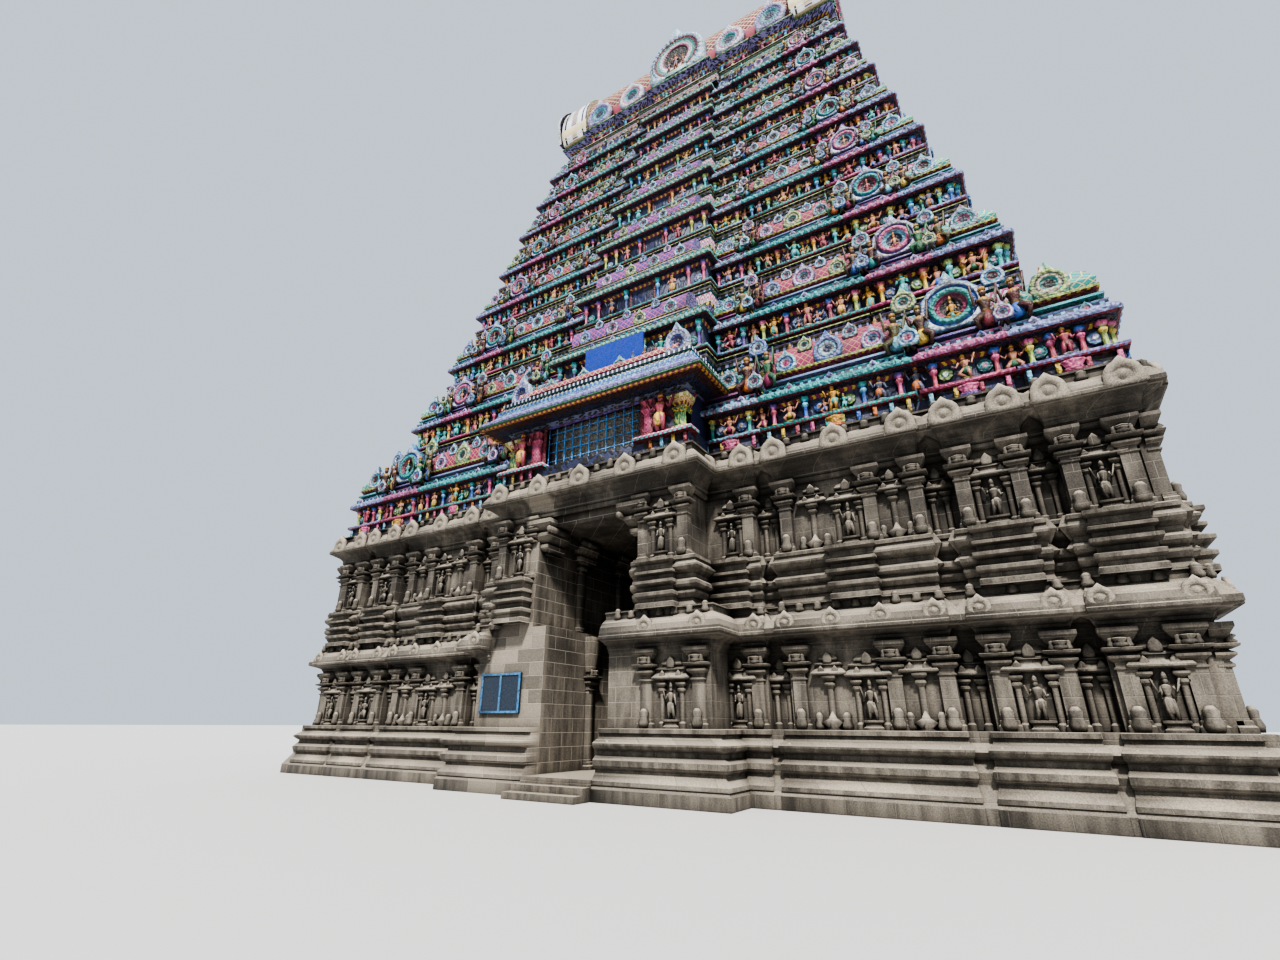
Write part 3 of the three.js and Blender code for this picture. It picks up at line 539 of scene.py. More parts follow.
MAKERS = {
    "painted": painted,
    "smooth_paint": smooth_paint,
    "granite": granite,
    "granite_shadow": granite,
    "granite_painted_light": granite,
    **dict.fromkeys(("dentils", "arches", "drops", "lattice", "scrolls"), patterned),
    "wall_paint": lambda key: plain(key, PAINT["navy"] * 1.6),
    "base_paint": lambda key: plain(key, PAINT["lilac"] * 0.5),
    "canopy_paint": lambda key: plain(key, PAINT["lilac"]),
    "gable_paint": lambda key: plain(key, PAINT["cream"]),
    "vault_paint": lambda key: plain(key, PAINT["rose"]),
    "gilding": lambda key: plain(key, PAINT["gold"], 0.35, 1.0),
    "sign_blue": lambda key: plain(key, PAINT["sign"], 0.4, 0.0, 0.15),
    "board_blue": lambda key: plain(key, PAINT["board"], 0.45, 0.0, 0.3),
}
STACK = ("painted", "dentils", "arches", "drops", "lattice", "scrolls", "smooth_paint")
PLAIN, DENTILS, ARCHES, DROPS, LATTICE, SCROLLS, SMOOTH = range(7)


# Shapes of the shrines

def horseshoe(rings, segments, scallop, petals=0, petal_zone=6, lace=0.05, foot=0.22, point=0.5):
    """A round gable facing -y, 1 in radius round a centre 0.9 above its foot. Rings give radius, relief
    and colour zone; the outer ones wave scallop times, as deep as lace, rise to a point at the top and
    widen into feet at the bottom. Every second point of the first few rings takes the petal's colour."""
    angle = np.arange(segments) * TURN / segments - math.pi / 2
    wave = 1 + (lace * np.abs(np.cos(scallop * angle / 2)) if scallop else 0.0)
    tip = point * np.exp(-((angle - math.pi / 2) / 0.15) ** 2)
    feet = foot * np.exp(-((np.abs(angle - math.pi / 2) - 2.25) / 0.3) ** 2)
    points = []
    for index, (radius, relief, _) in enumerate(rings):
        reach = radius * (wave + tip + feet if index < 2 else 1)
        x = reach * np.cos(angle)
        z = np.maximum(0.9 + reach * np.sin(angle), 0.0)
        points.append(np.stack([x, np.full(segments, -relief), z], 1))
    made, faces, zone = rounded(np.stack(points), np.array([ring[2] for ring in rings]), segments)
    odd = np.arange(1, segments, 2)
    for row in range(petals):
        zone[row * segments + odd] = petal_zone
    return made, faces, zone


def outwards(shape):
    """The same shape with every face turned the other way."""
    points, faces, zone = shape
    quads = faces[:, 3] >= 0
    flipped = faces.copy()
    flipped[quads] = faces[quads][:, ::-1]
    flipped[~quads, :3] = faces[~quads][:, [0, 2, 1]]
    return points, flipped, zone


def figure(hips=0.0, knees=(0.06, -0.06), feet=(0.09, -0.07), hands=((0.2, 0.55), (-0.2, 0.55)),
           crouch=0.0, tall=0.14, more=(), skirt=0.22):
    """A standing figure 1 high without its crown, facing -y: legs and arms as tubes through their
    joints, the skirt, trunk, head and crown as stacks of rings. Zones: skin, cloth, gold, crown."""
    drop = 0.26 * crouch
    hip = 0.47 - drop
    parts = []
    for side, knee, foot in zip((1, -1), knees, feet):
        parts.append(tube([(side * 0.05 + hips, 0, hip), (knee, -0.05 - 0.1 * crouch, hip * 0.52),
                           (foot, -0.03, 0.0)], (0.08, 0.062, 0.042), 4, 0))
    cloth = [(0.07, hip - skirt), (0.14, hip - skirt + 0.04), (0.135, hip - 0.02), (0.07, hip + 0.06)]
    parts.append(lathe(cloth, 5, [1] * 4, 0.78, centre=(hips, 0)))
    trunk = [(0.085, hip + 0.02), (0.078, hip + 0.12), (0.13, hip + 0.25), (0.12, hip + 0.31),
             (0.03, hip + 0.36)]
    parts.append(lathe(trunk, 5, [2, 0, 0, 2, 0], 0.7, centre=(hips * 0.5, 0)))
    parts.append(lathe([(0.045, hip + 0.36), (0.07, hip + 0.42), (0.055, hip + 0.49)], 5, [0, 0, 3], 0.95))
    parts.append(lathe([(0.078, hip + 0.48), (0.06, hip + 0.52 + 0.4 * tall), (0.012, hip + 0.52 + tall)], 5,
                       [2, 3, 2], 0.95))
    shoulder = hip + 0.29
    for index, (x, z) in enumerate((*hands, *more)):
        side = 1 if x > 0 else -1
        z = z - drop
        elbow = (side * (0.15 + 0.35 * abs(abs(x) - 0.15)), -0.02, min(z, shoulder) * 0.5 + shoulder * 0.32)
        parts.append(tube([(side * 0.12, 0, shoulder), elbow, (x, -0.1 if index < 2 else -0.03, z)],
                          (0.045, 0.036, 0.028), 3, 0))
    return together(*parts)


POSES = (
    figure(0.03, (0.07, -0.05), (0.08, -0.09), ((0.22, 0.62), (-0.24, 0.86))),
    figure(-0.04, (0.05, -0.1), (0.07, -0.05), ((0.26, 0.8), (-0.16, 0.5)),
           more=((0.3, 0.95), (-0.3, 0.95)), skirt=0.34),
    figure(0.0, (0.17, -0.17), (0.1, -0.12), ((0.2, 0.66), (-0.28, 0.72)), 0.35, 0.1, ((0.33, 1.0),)),
    figure(0.05, (0.09, -0.16), (0.12, 0.06), ((0.3, 0.98), (-0.3, 0.62)), 0.2),
    figure(0.02, (0.06, -0.06), (0.07, -0.07), ((0.1, 0.58), (-0.1, 0.58)), tall=0.08, skirt=0.4),
    figure(-0.03, (0.1, -0.06), (0.13, -0.08), ((0.24, 0.45), (-0.27, 0.92)), tall=0.18, skirt=0.3))
BEARER = figure(0.0, (0.24, -0.24), (0.17, -0.17), ((0.24, 1.02), (-0.24, 1.02)), 0.75, 0.05)
SEATED = figure(0.0, (0.26, -0.26), (-0.06, 0.06), ((0.16, 0.62), (-0.16, 0.62)), 0.98, 0.16)

PILLAR = lathe([(0.7, 0), (0.7, 0.12), (0.42, 0.16), (0.4, 0.56), (0.68, 0.64), (0.74, 0.72), (0.42, 0.79),
                (0.9, 0.88), (0.95, 1.0)], 5, [0, 0, 1, 1, 2, 2, 1, 3, 3])


def upright(shape):
    """A turned shape laid on its side, so that its axis points out of the wall."""
    points, faces, zone = shape
    return np.stack([points[:, 0], -points[:, 2], points[:, 1]], 1), faces, zone


ROUNDEL = upright(lathe([(1.0, -0.1), (0.95, 0.14), (0.7, 0.06), (0.45, 0.24), (0.12, 0.14)], 8,
                        [0, 0, 1, 0, 2]))
POT = lathe([(0.5, 0), (0.28, 0.12), (0.62, 0.4), (0.24, 0.62), (0.04, 1.0)], 6, [0, 0, 1, 0, 1])
LOTUS = lathe([(0.8, 0), (1.0, 0.3), (0.62, 0.55), (1.0, 0.85), (0.9, 1.0)], 6, [0, 0, 1, 1, 1])
POST = box((-0.5, -0.5, 0), (0.5, 0.5, 1))
IDOL = lathe([(0.34, 0), (0.38, 0.14), (0.15, 0.3), (0.22, 0.5), (0.07, 0.58), (0.12, 0.7), (0.12, 0.78),
              (0.02, 1.0)], 5, [1, 1, 0, 0, 0, 0, 2, 2], 0.7)
BEAST = lathe([(0.5, 0), (0.62, 0.25), (0.42, 0.55), (0.5, 0.8), (0.2, 1.0)], 5, flat=0.8)
MEDALLION = outwards(horseshoe([(1.1, -0.25, 0), (1.0, 0.1, 0), (0.66, 0.14, 2), (0.4, 0.16, 3)], 8, 0, 2, 1))
GABLE = outwards(horseshoe([(1.02, -0.3, 0), (1.0, 0.08, 0), (0.8, 0.15, 1), (0.72, 0.05, 2), (0.53, 0.16, 3),
                            (0.46, 0.02, 4), (0.28, 0.02, 5)], 16, 8, 2))
GRAND_GABLE = outwards(horseshoe([
    (1.02, -0.3, 0), (1.0, 0.08, 0), (0.87, 0.16, 1), (0.85, 0.05, 2), (0.72, 0.08, 2), (0.7, 0.16, 3),
    (0.54, 0.16, 3), (0.52, 0.03, 4), (0.38, 0.04, 4), (0.35, -0.02, 5)], 28, 14, 2))
STONE_GABLE = outwards(horseshoe([(1.05, -0.5, 0), (1.0, 0.06, 0), (0.72, 0.24, 0), (0.6, 0.0, 0),
                                  (0.34, 0.02, 0), (0.22, 0.22, 0)], 18, 9, lace=0.22, foot=0.5, point=0.32))
STONE_STUD = outwards(horseshoe([(1.05, -0.5, 0), (1.0, 0.1, 0), (0.5, 0.24, 0)], 10, 0, foot=0.5,
                                point=0.32))

SKINS = ("skin", "rose", "skin", "teal", "skin", "slate", "skin", "gold")
CLOTHS = ("crimson", "yellow", "sky", "magenta", "orange", "green", "teal", "blue")


def dressed(index):
    """Skin, cloth, gold and crown colours of the figures of the given numbers."""
    index = np.asarray(index)
    skins, cloths = (np.stack([PAINT[key] for key in keys]) for keys in (SKINS, CLOTHS))
    return np.stack([skins[index % 8], cloths[(index * 5 + 3) % 8],
                     np.broadcast_to(PAINT["gold"], index.shape + (3,)),
                     skins[(index * 3 + 1) % 8] * 0.3 + PAINT["gold"] * 0.6], 1)


def turned(x, y, z, turn):
    """Points given along a side, out of it and up, turned to where the side faces."""
    cos, sin = math.cos(turn), math.sin(turn)
    return np.stack([x * cos - y * sin, x * sin + y * cos, np.broadcast_to(z, np.shape(x))], 1)


def course(bag, path, rows, turn, repeat, closed=False):
    """A moulding carried along a path in plan: each row holds an offset and a height, and the paint,
    trim and pattern of the band above it; without trim and pattern the band is plain. Path points hold
    distance along, distance out, and how the offset moves them; u counts repeats along the path."""
    path = np.asarray(path, float)
    step = np.linalg.norm(np.diff(path[:, :2], axis=0, append=path[:1, :2]), axis=1)
    total = step.sum() if closed else step[:-1].sum()
    count = max(round(total / repeat), 1)
    u = np.concatenate([[0], np.cumsum(step)])[: len(path) + closed] * count / total
    order = np.arange(len(path) + closed) % len(path)
    n = len(order)
    faces = np.stack([np.arange(n - 1), np.arange(1, n), np.arange(n + 1, 2 * n), np.arange(n, 2 * n - 1)], 1)
    for (low, z0, paint, *rest), (high, z1, *_) in zip(rows[:-1], rows[1:]):
        trim, kind = rest or (paint, PLAIN)
        points = []
        for offset, z in ((low, z0), (high, z1)):
            along, out, *ways = path[order].T
            points.append(turned(along + ways[0] * offset, -out - ways[1] * offset, z, turn))
        uv = np.stack([np.tile(u, 2), np.repeat([0.0, 1.0], n)], 1)
        bag.add(np.concatenate(points), faces, PAINT[paint], PAINT[trim], uv, kind)


def bay(x0, x1, back, face):
    """The path round the three free sides of a bay."""
    return [(x0, back, -1, 0), (x0, face, -1, 1), (x1, face, 1, 1), (x1, back, 1, 0)]


def corner_bay(x0, x1, face, end):
    """The path round a bay that stands on the corner, from one face to where it ends on the next."""
    if x0 > 0:
        return [(x0, end, -1, 0), (x0, face, -1, 1), (x1, face, 1, 1), (x1, end, 1, -1), (x0, end, 0, -1)]
    return [(x1, end, 0, -1), (x0, end, -1, -1), (x0, face, -1, 1), (x1, face, 1, 1), (x1, end, 1, 0)]


def ring(width, depth):
    """The path round a whole level."""
    return [(-width, depth, -1, 1), (width, depth, 1, 1), (width, -depth, 1, -1), (-width, -depth, -1, -1)]


class Level:
    """One painted storey: its heights, bays and scale, worked out from the row of sizes."""

    def __init__(self, index):
        self.index = index
        (self.cornice, self.ledge, self.width, self.depth, self.middle, self.out, self.rise,
         self.window) = STOREYS[index]
        self.roof = self.cornice + 0.33
        above = STOREYS[index + 1] if index + 1 < len(STOREYS) else None
        self.next_ledge = above[1] if above else NECK_FOOT
        self.share = (self.next_ledge - self.roof) / 2.54
        self.scale = ((above[0] - self.cornice) if above else 2.0) / 3.81
        self.shrine = 0.62 * self.scale

    def path(self, side, kind, x0, x1, face, back):
        """The plan path of a bay; the corner ones are carried round the corner by the front and back."""
        if kind != "corner":
            return bay(x0, x1, back, face)
        if side not in LONG_SIDES:
            return None
        return corner_bay(x0, x1, face, self.depth - (1 - CORNER_START) * self.width)

    def bays(self, side):
        """Kind, start, end, and distance of the face, of each bay of a side."""
        w, d = self.width, self.depth
        made = []
        if side in LONG_SIDES:
            face = d + BAY_OUT
            made.append(("middle", -self.middle, self.middle, d + self.out))
            for s in (-1, 1):
                for kind, a, b in (("near", self.middle / w + 0.012, NEAR_END), ("sala", *SALA_BAY),
                                   ("panjara", *PANJARA_BAY), ("corner", CORNER_START, 1 + BAY_OUT / w)):
                    low, high = sorted((s * a * w, s * b * w))
                    made.append((kind, low, high, face))
        else:
            face = w + BAY_OUT
            start = d - (1 - CORNER_START) * w
            made.append(("sala", -0.3 * d, 0.3 * d, face))
            room = start - 0.3 * d
            for s in (-1, 1):
                if room > 1.2:
                    low, high = sorted((s * (0.3 * d + 0.27 * room), s * (0.3 * d + 0.73 * room)))
                    made.append(("panjara", low, high, face))
                low, high = sorted((s * start, s * (d + BAY_OUT)))
                made.append(("corner", low, high, face))
        return made


# Cornice, its trim, second cornice, dark band and upper step of each kind of bay; fields and lines of
# the lattice on its roof.
STYLES = {"middle": ("teal", "cream", "lilac", "magenta", "lime"),
          "near": ("sky", "pink", "violet", "magenta", "yellow"),
          "sala": ("teal", "sky", "lilac", "magenta", "lime"),
          "panjara": ("pink", "lilac", "violet", "crimson", "sky"),
          "corner": ("lilac", "sky", "teal", "crimson", "lime")}
LATTICES = {"middle": ("violet", "pink"), "near": ("green", "sky"), "sala": ("magenta", "skin")}


def ripple(bag, x0, x1, face, rows, turn, pitch, paint, trim):
    """A cornice with a waved front: a strip from x0 to x1 whose offset swings in and out |sin| times its
    row's depth, with crests in paint and troughs in trim. Rows hold offset, height and depth."""
    count = max(round((x1 - x0) / pitch), 2)
    t = np.linspace(0, 1, 3 * count + 1)
    wave = np.abs(np.sin(math.pi * count * t)) ** 0.8
    points, paints = [], []
    for offset, z, depth in rows:
        x = x0 - offset + t * (x1 - x0 + 2 * offset)
        points.append(turned(x, -(face + offset + depth * wave), z + 0.4 * depth * wave, turn))
        paints.append(PAINT[trim] + (PAINT[paint] - PAINT[trim]) * wave[:, None])
    faces = grid_faces(len(rows), len(t), False)
    bag.add(np.concatenate(points), faces, np.concatenate(paints))


SHAFTS = ("pink", "blue", "teal", "lime", "rose", "violet", "teal", "yellow")
CAPITALS = ("rose", "sky", "lime", "yellow", "pink", "teal", "sky", "orange")
FIRST_SHAFT = {"middle": 2, "near": 2, "sala": 0, "panjara": 4, "corner": 3}
# Where the roundels of a bay's wall stand, as shares of its width.
ROUNDELS = {"near": (0.26, 0.74), "sala": (0.39, 0.61), "panjara": (0.22, 0.78), "corner": (0.16, 0.84),
            "middle": (0.06, 0.94)}
ROUNDEL_PALETTES = (("teal", "navy", "pink"), ("violet", "sky", "white"), ("blue", "navy", "yellow"),
                    ("green", "lime", "white"))
# The colours of the lotus seats under the figures.
LOTUS_PALETTES = (("orange", "pink"), ("magenta", "yellow"), ("violet", "lime"), ("green", "white"))
# How far the pillars at a middle window stand from its jambs, and the inset of the pair outside them.
WINDOW_SIDE, OUTER_PAIR = 0.22, 0.13
# The narrowest gap between two bays that is dressed, and how far its wall stands out.
LEAST_GAP, GAP_OUT = 0.25, 0.2


class Places:
    """Where one shape is stamped, and its colours at each place, or a number that picks them."""

    def __init__(self):
        self.rows, self.paints = [], []

    def add(self, x, out, z, sizes, turn, paint=None, own=0):
        """Adds a place: distance along, distance out, height, three sizes, and the two turns."""
        self.rows.append((x, out, z, *sizes, turn, own))
        self.paints.append(paint)


def wall_courses(bag, level, side, turn, bay_row):
    """The ledge, dark wall, architrave and waved cornice of one bay."""
    kind, x0, x1, face = bay_row
    rise = level.rise if kind == "middle" else 0.0
    body, trim, _, under, _ = STYLES[kind]
    path = level.path(side, kind, x0, x1, face, face - 0.6)
    ledge, lip, wave = level.ledge, level.cornice + rise, SIZE["wave"]
    drop = lip - 0.12
    if path and (kind != "middle" or level.index):
        course(bag, path, [(0.14, ledge - 0.14, "crimson"), (0.25, ledge - 0.10, "rose", body, DENTILS),
                           (0.27, ledge - 0.06, body), (0.27, ledge, body), (-0.02, ledge)], turn, 0.12)
        course(bag, path, [(CLEAR, ledge, "navy", "indigo", SCROLLS), (CLEAR, lip - 0.12)], turn, 0.45)
    if path:
        course(bag, path, [
            (0.01, drop - 0.12, under, "yellow", DENTILS), (0.07, drop - 0.03, "maroon"),
            (0.10, drop, "navy"), (0.24, drop + 0.03, "crimson"), (0.30, lip - 0.06, body),
            (0.31, lip + 0.05, body), (0.22, lip + 0.17, "navy"),
            (0.15, lip + 0.2, "navy", "sky", DENTILS), (0.15, lip + 0.28, trim, body, DROPS),
            (0.17, lip + 0.335, trim), (-0.3, lip + 0.336)], turn, 0.2)
    ripple(bag, x0, x1, face, [
        (0.28, lip - 0.07, 0.0), (0.29, lip - 0.05, 0.9 * wave), (0.29, lip + 0.05, wave),
        (0.21, lip + 0.15, 0.7 * wave), (0.17, lip + 0.19, 0.0)], turn, 0.19, body, trim)


def pillar_spots(level, kind, x0, x1, inner):
    """Where the pillars of a bay stand, the outer ones inner from its ends."""
    width = x1 - x0
    if kind == "middle":
        if not level.index:
            return []
        beside = level.window + WINDOW_SIDE
        return [x0 + inner, x0 + OUTER_PAIR * width, x1 - OUTER_PAIR * width, x1 - inner, -beside, beside]
    if kind in ("near", "panjara"):
        return [x0 + inner, x1 - inner]
    share = 0.28 if kind == "sala" else 0.32
    return [x0 + inner, x0 + share * width, x1 - share * width, x1 - inner]


def figure_spots(level, kind, x0, x1, height):
    """Place, distance out of the face, and share of the wall's height, of the figures of a bay."""
    middle, width = (x0 + x1) / 2, x1 - x0
    if kind in ("near", "panjara"):
        return [(middle, 0.14, 1.02)]
    if kind == "corner":
        return [(middle - 0.02 * width, 0.15, 1.02)]
    if kind == "sala":
        return [(middle, 0.16, 1.08), (x0 + 0.16 * width, 0.13, 0.95), (x1 - 0.16 * width, 0.13, 0.95),
                (middle - 0.34 * height, 0.1, 0.66), (middle + 0.34 * height, 0.1, 0.66)]
    if not level.index:
        return []
    beside = level.window + WINDOW_SIDE
    x = beside + (x1 - OUTER_PAIR * width - beside) / 2
    return [(x, 0.14, 1.12), (-x, 0.14, 1.12)]


def middle_window(bag, level, face, head, turn):
    """A window of blue bars between red jambs in the middle of the upper storeys."""
    half, bar = level.window, 0.012
    sill = head - (1.058 if level.index == 1 else 0.92)
    for s in (-1, 1):
        a, b = sorted((s * half, s * (half + 0.09)))
        slab(bag, a, b, face - 0.25, face + 0.05, sill, head, turn, "crimson")
    for x in np.linspace(-half, half, 5)[1:-1]:
        slab(bag, x - bar, x + bar, face - 0.22, face - 0.19, sill, head, turn, "blue")
    for z in np.linspace(sill, head, 5)[1:-1]:
        slab(bag, -half, half, face - 0.22, face - 0.2, z - bar, z + bar, turn, "blue")


def recess(bag, level, left, right, back, turn):
    """The ledge and the cornice of the wall between two bays."""
    path = [(left + 0.01, back, 0, 1), (right - 0.01, back, 0, 1)]
    lip = level.cornice
    course(bag, path, [(-0.05, level.ledge - 0.14, "crimson", "teal", DENTILS),
                       (0.02, level.ledge - 0.02, "teal"), (-0.2, level.ledge)], turn, 0.12)
    course(bag, path, [(-0.18, lip - 0.16, "crimson"), (0.07, lip - 0.04, "cream", "pink", ARCHES),
                       (0.07, lip + 0.06, "navy", "sky", DENTILS), (-0.03, lip + 0.2, "lilac"),
                       (-0.12, lip + 0.335)], turn, 0.16)


def gaps_between(level, side):
    """Ends of the wider gaps between the bays of a side."""
    spans = sorted((x0, x1) for _, x0, x1, _ in level.bays(side))
    return [(left, right) for (_, left), (right, _) in zip(spans[:-1], spans[1:])
            if right - left >= LEAST_GAP]


def wall_zone(bag, level, rng):
    """The wall of a storey: its ledge, dark panels, pillars, figures, architrave and cornice."""
    ledge = level.ledge
    height = level.cornice - 0.10 - ledge
    size = min(SIZE["pillar"], 0.05 + 0.13 * height)
    pillars, roundels, lotus, figures = Places(), Places(), Places(), Places()
    count = 0
    for side, turn in SIDES.items():
        for kind, x0, x1, face in level.bays(side):
            rise = level.rise if kind == "middle" else 0.0
            wall_courses(bag, level, side, turn, (kind, x0, x1, face))
            spots = pillar_spots(level, kind, x0, x1, size * 0.62)
            for j, x in enumerate(spots):
                outer = j < 4 if kind == "middle" else j in (0, len(spots) - 1)
                pick = (FIRST_SHAFT[kind] + level.index * 3 + (not outer)) % 8
                other, last = CAPITALS[(pick + 3) % 8], SHAFTS[(pick + 5) % 8]
                pillars.add(x, face + 0.06, ledge, (size, size, height + rise - 0.06), turn,
                            tones(other, SHAFTS[pick], CAPITALS[pick], last))
            for x, out, tall in figure_spots(level, kind, x0, x1, height):
                base = 0.08 * height
                lotus.add(x, face + out, ledge, (0.2 * height, 0.16 * height, base), turn,
                          tones(*LOTUS_PALETTES[count % 4]))
                h = (height - base) * tall
                figures.add(x, face + out, ledge + base, (h * 1.25, h * 1.25, h * 0.92), turn,
                            count * 7 + level.index * 3)
                count += 1
            if kind != "middle" or level.index:
                r = min(0.24 * height, 0.1 * (x1 - x0) + 0.06)
                for j, t in enumerate(ROUNDELS[kind]):
                    roundels.add(x0 + t * (x1 - x0), face + 0.02, ledge + 0.46 * height, (r, r * 1.25, r),
                                 turn, tones(*ROUNDEL_PALETTES[(count + j + level.index) % 4]))
            if kind == "middle" and level.index:
                middle_window(bag, level, face, level.cornice + rise - 0.22, turn)
        # The gaps between the bays hold a figure each, on the wall behind.
        back = (level.depth if side in LONG_SIDES else level.width) + GAP_OUT
        for left, right in gaps_between(level, side):
            recess(bag, level, left, right, back, turn)
            h = height * 0.98
            figures.add((left + right) / 2, back, ledge, (min(h * 1.2, (right - left) * 2.6), h, h), turn,
                        count * 5 + 1)
            count += 1
    bag.stamp(PILLAR, pillars.rows, np.array(pillars.paints), SMOOTH)
    bag.stamp(LOTUS, lotus.rows, np.array(lotus.paints))
    bag.stamp(ROUNDEL, roundels.rows, np.array(roundels.paints))
    order = rng.integers(0, len(POSES), len(figures.rows))
    paints = dressed(figures.paints)
    rows = np.array(figures.rows)
    for pose, shape in enumerate(POSES):
        chosen = order == pose
        bag.stamp(shape, rows[chosen], paints[chosen], SMOOTH)


def barrel(bag, x0, x1, middle, half, bottom, top, turn, paint, trim):
    """A barrel roof along a side: a horseshoe section carried from end to end, with flat ends."""
    shape = np.array([(1.0, 0), (1.05, 0.2), (1.0, 0.42), (0.85, 0.64), (0.58, 0.84), (0.26, 0.97), (0, 1.0)])
    section = np.concatenate([shape, shape[-2::-1] * (-1, 1)])
    n = len(section)
    count = max(round((x1 - x0) / 0.22), 1)
    length = np.concatenate([[0], np.cumsum(np.linalg.norm(np.diff(section * (half, top - bottom), axis=0),
                                                           axis=1))])
    points, uv = [], []
    for x, u in ((x0, 0), (x1, count)):
        points.append(turned(np.full(n, x), -(middle + section[:, 0] * half),
                             bottom + section[:, 1] * (top - bottom), turn))
        uv.append(np.stack([np.full(n, u), length / 0.22], 1))
    i = np.arange(n - 1)
    bag.add(np.concatenate(points), np.stack([i, i + n, i + n + 1, i + 1], 1), PAINT[paint], PAINT[trim],
            np.concatenate(uv), LATTICE)
    for end, x in enumerate((x0, x1)):
        ends = np.concatenate([points[end], turned(np.array([x]), -middle, bottom, turn)])
        faces = np.stack([i + end, i + 1 - end, np.full(n - 1, n), np.full(n - 1, -1)], 1)
        bag.add(ends, faces, PAINT["lilac"])


GABLE_PALETTES = (
    ("teal", "sky", "navy", "blue", "white", "magenta", "white"),
    ("blue", "lilac", "navy", "sky", "white", "navy", "sky"),
    ("lilac", "white", "violet", "pink", "sky", "navy", "violet"),
    ("teal", "lime", "navy", "cream", "teal", "black", "cream"),
    ("rose", "sky", "navy", "teal", "pink", "navy", "white"),
    ("sky", "white", "blue", "teal", "magenta", "black", "blue"))
# Which colours of a gable its small medallions take.
MEDALLION_TONES = [0, 1, 2, 5]
# Gables on a barrel roof: share of its length from the middle, share of its height, and size.
ROOF_GABLES = {
    "near": ((0, 0, 1.1), (-0.33, 0.45, 0.6), (0.33, 0.45, 0.6)),
    "sala": ((-0.34, 0, 0.9), (0, 0, 1.2), (0.34, 0, 0.9), (-0.18, 0.5, 0.62), (0.18, 0.5, 0.62)),
    "middle": ((-0.38, 0, 0.9), (-0.12, 0, 0.9), (0.12, 0, 0.9), (0.38, 0, 0.9),
               (-0.25, 0.5, 0.6), (0, 0.5, 0.6), (0.25, 0.5, 0.6))}
# Height of a barrel roof over its cornice: a share of the storey's scale, and what is added to it.
ROOF_HEIGHT = {"near": (1.25, 0.0), "sala": (1.5, 0.03), "middle": (1.3, 0.03)}
MEDALLIONS = {"sala": 3, "middle": 4, "near": 2, "panjara": 2, "corner": 2}


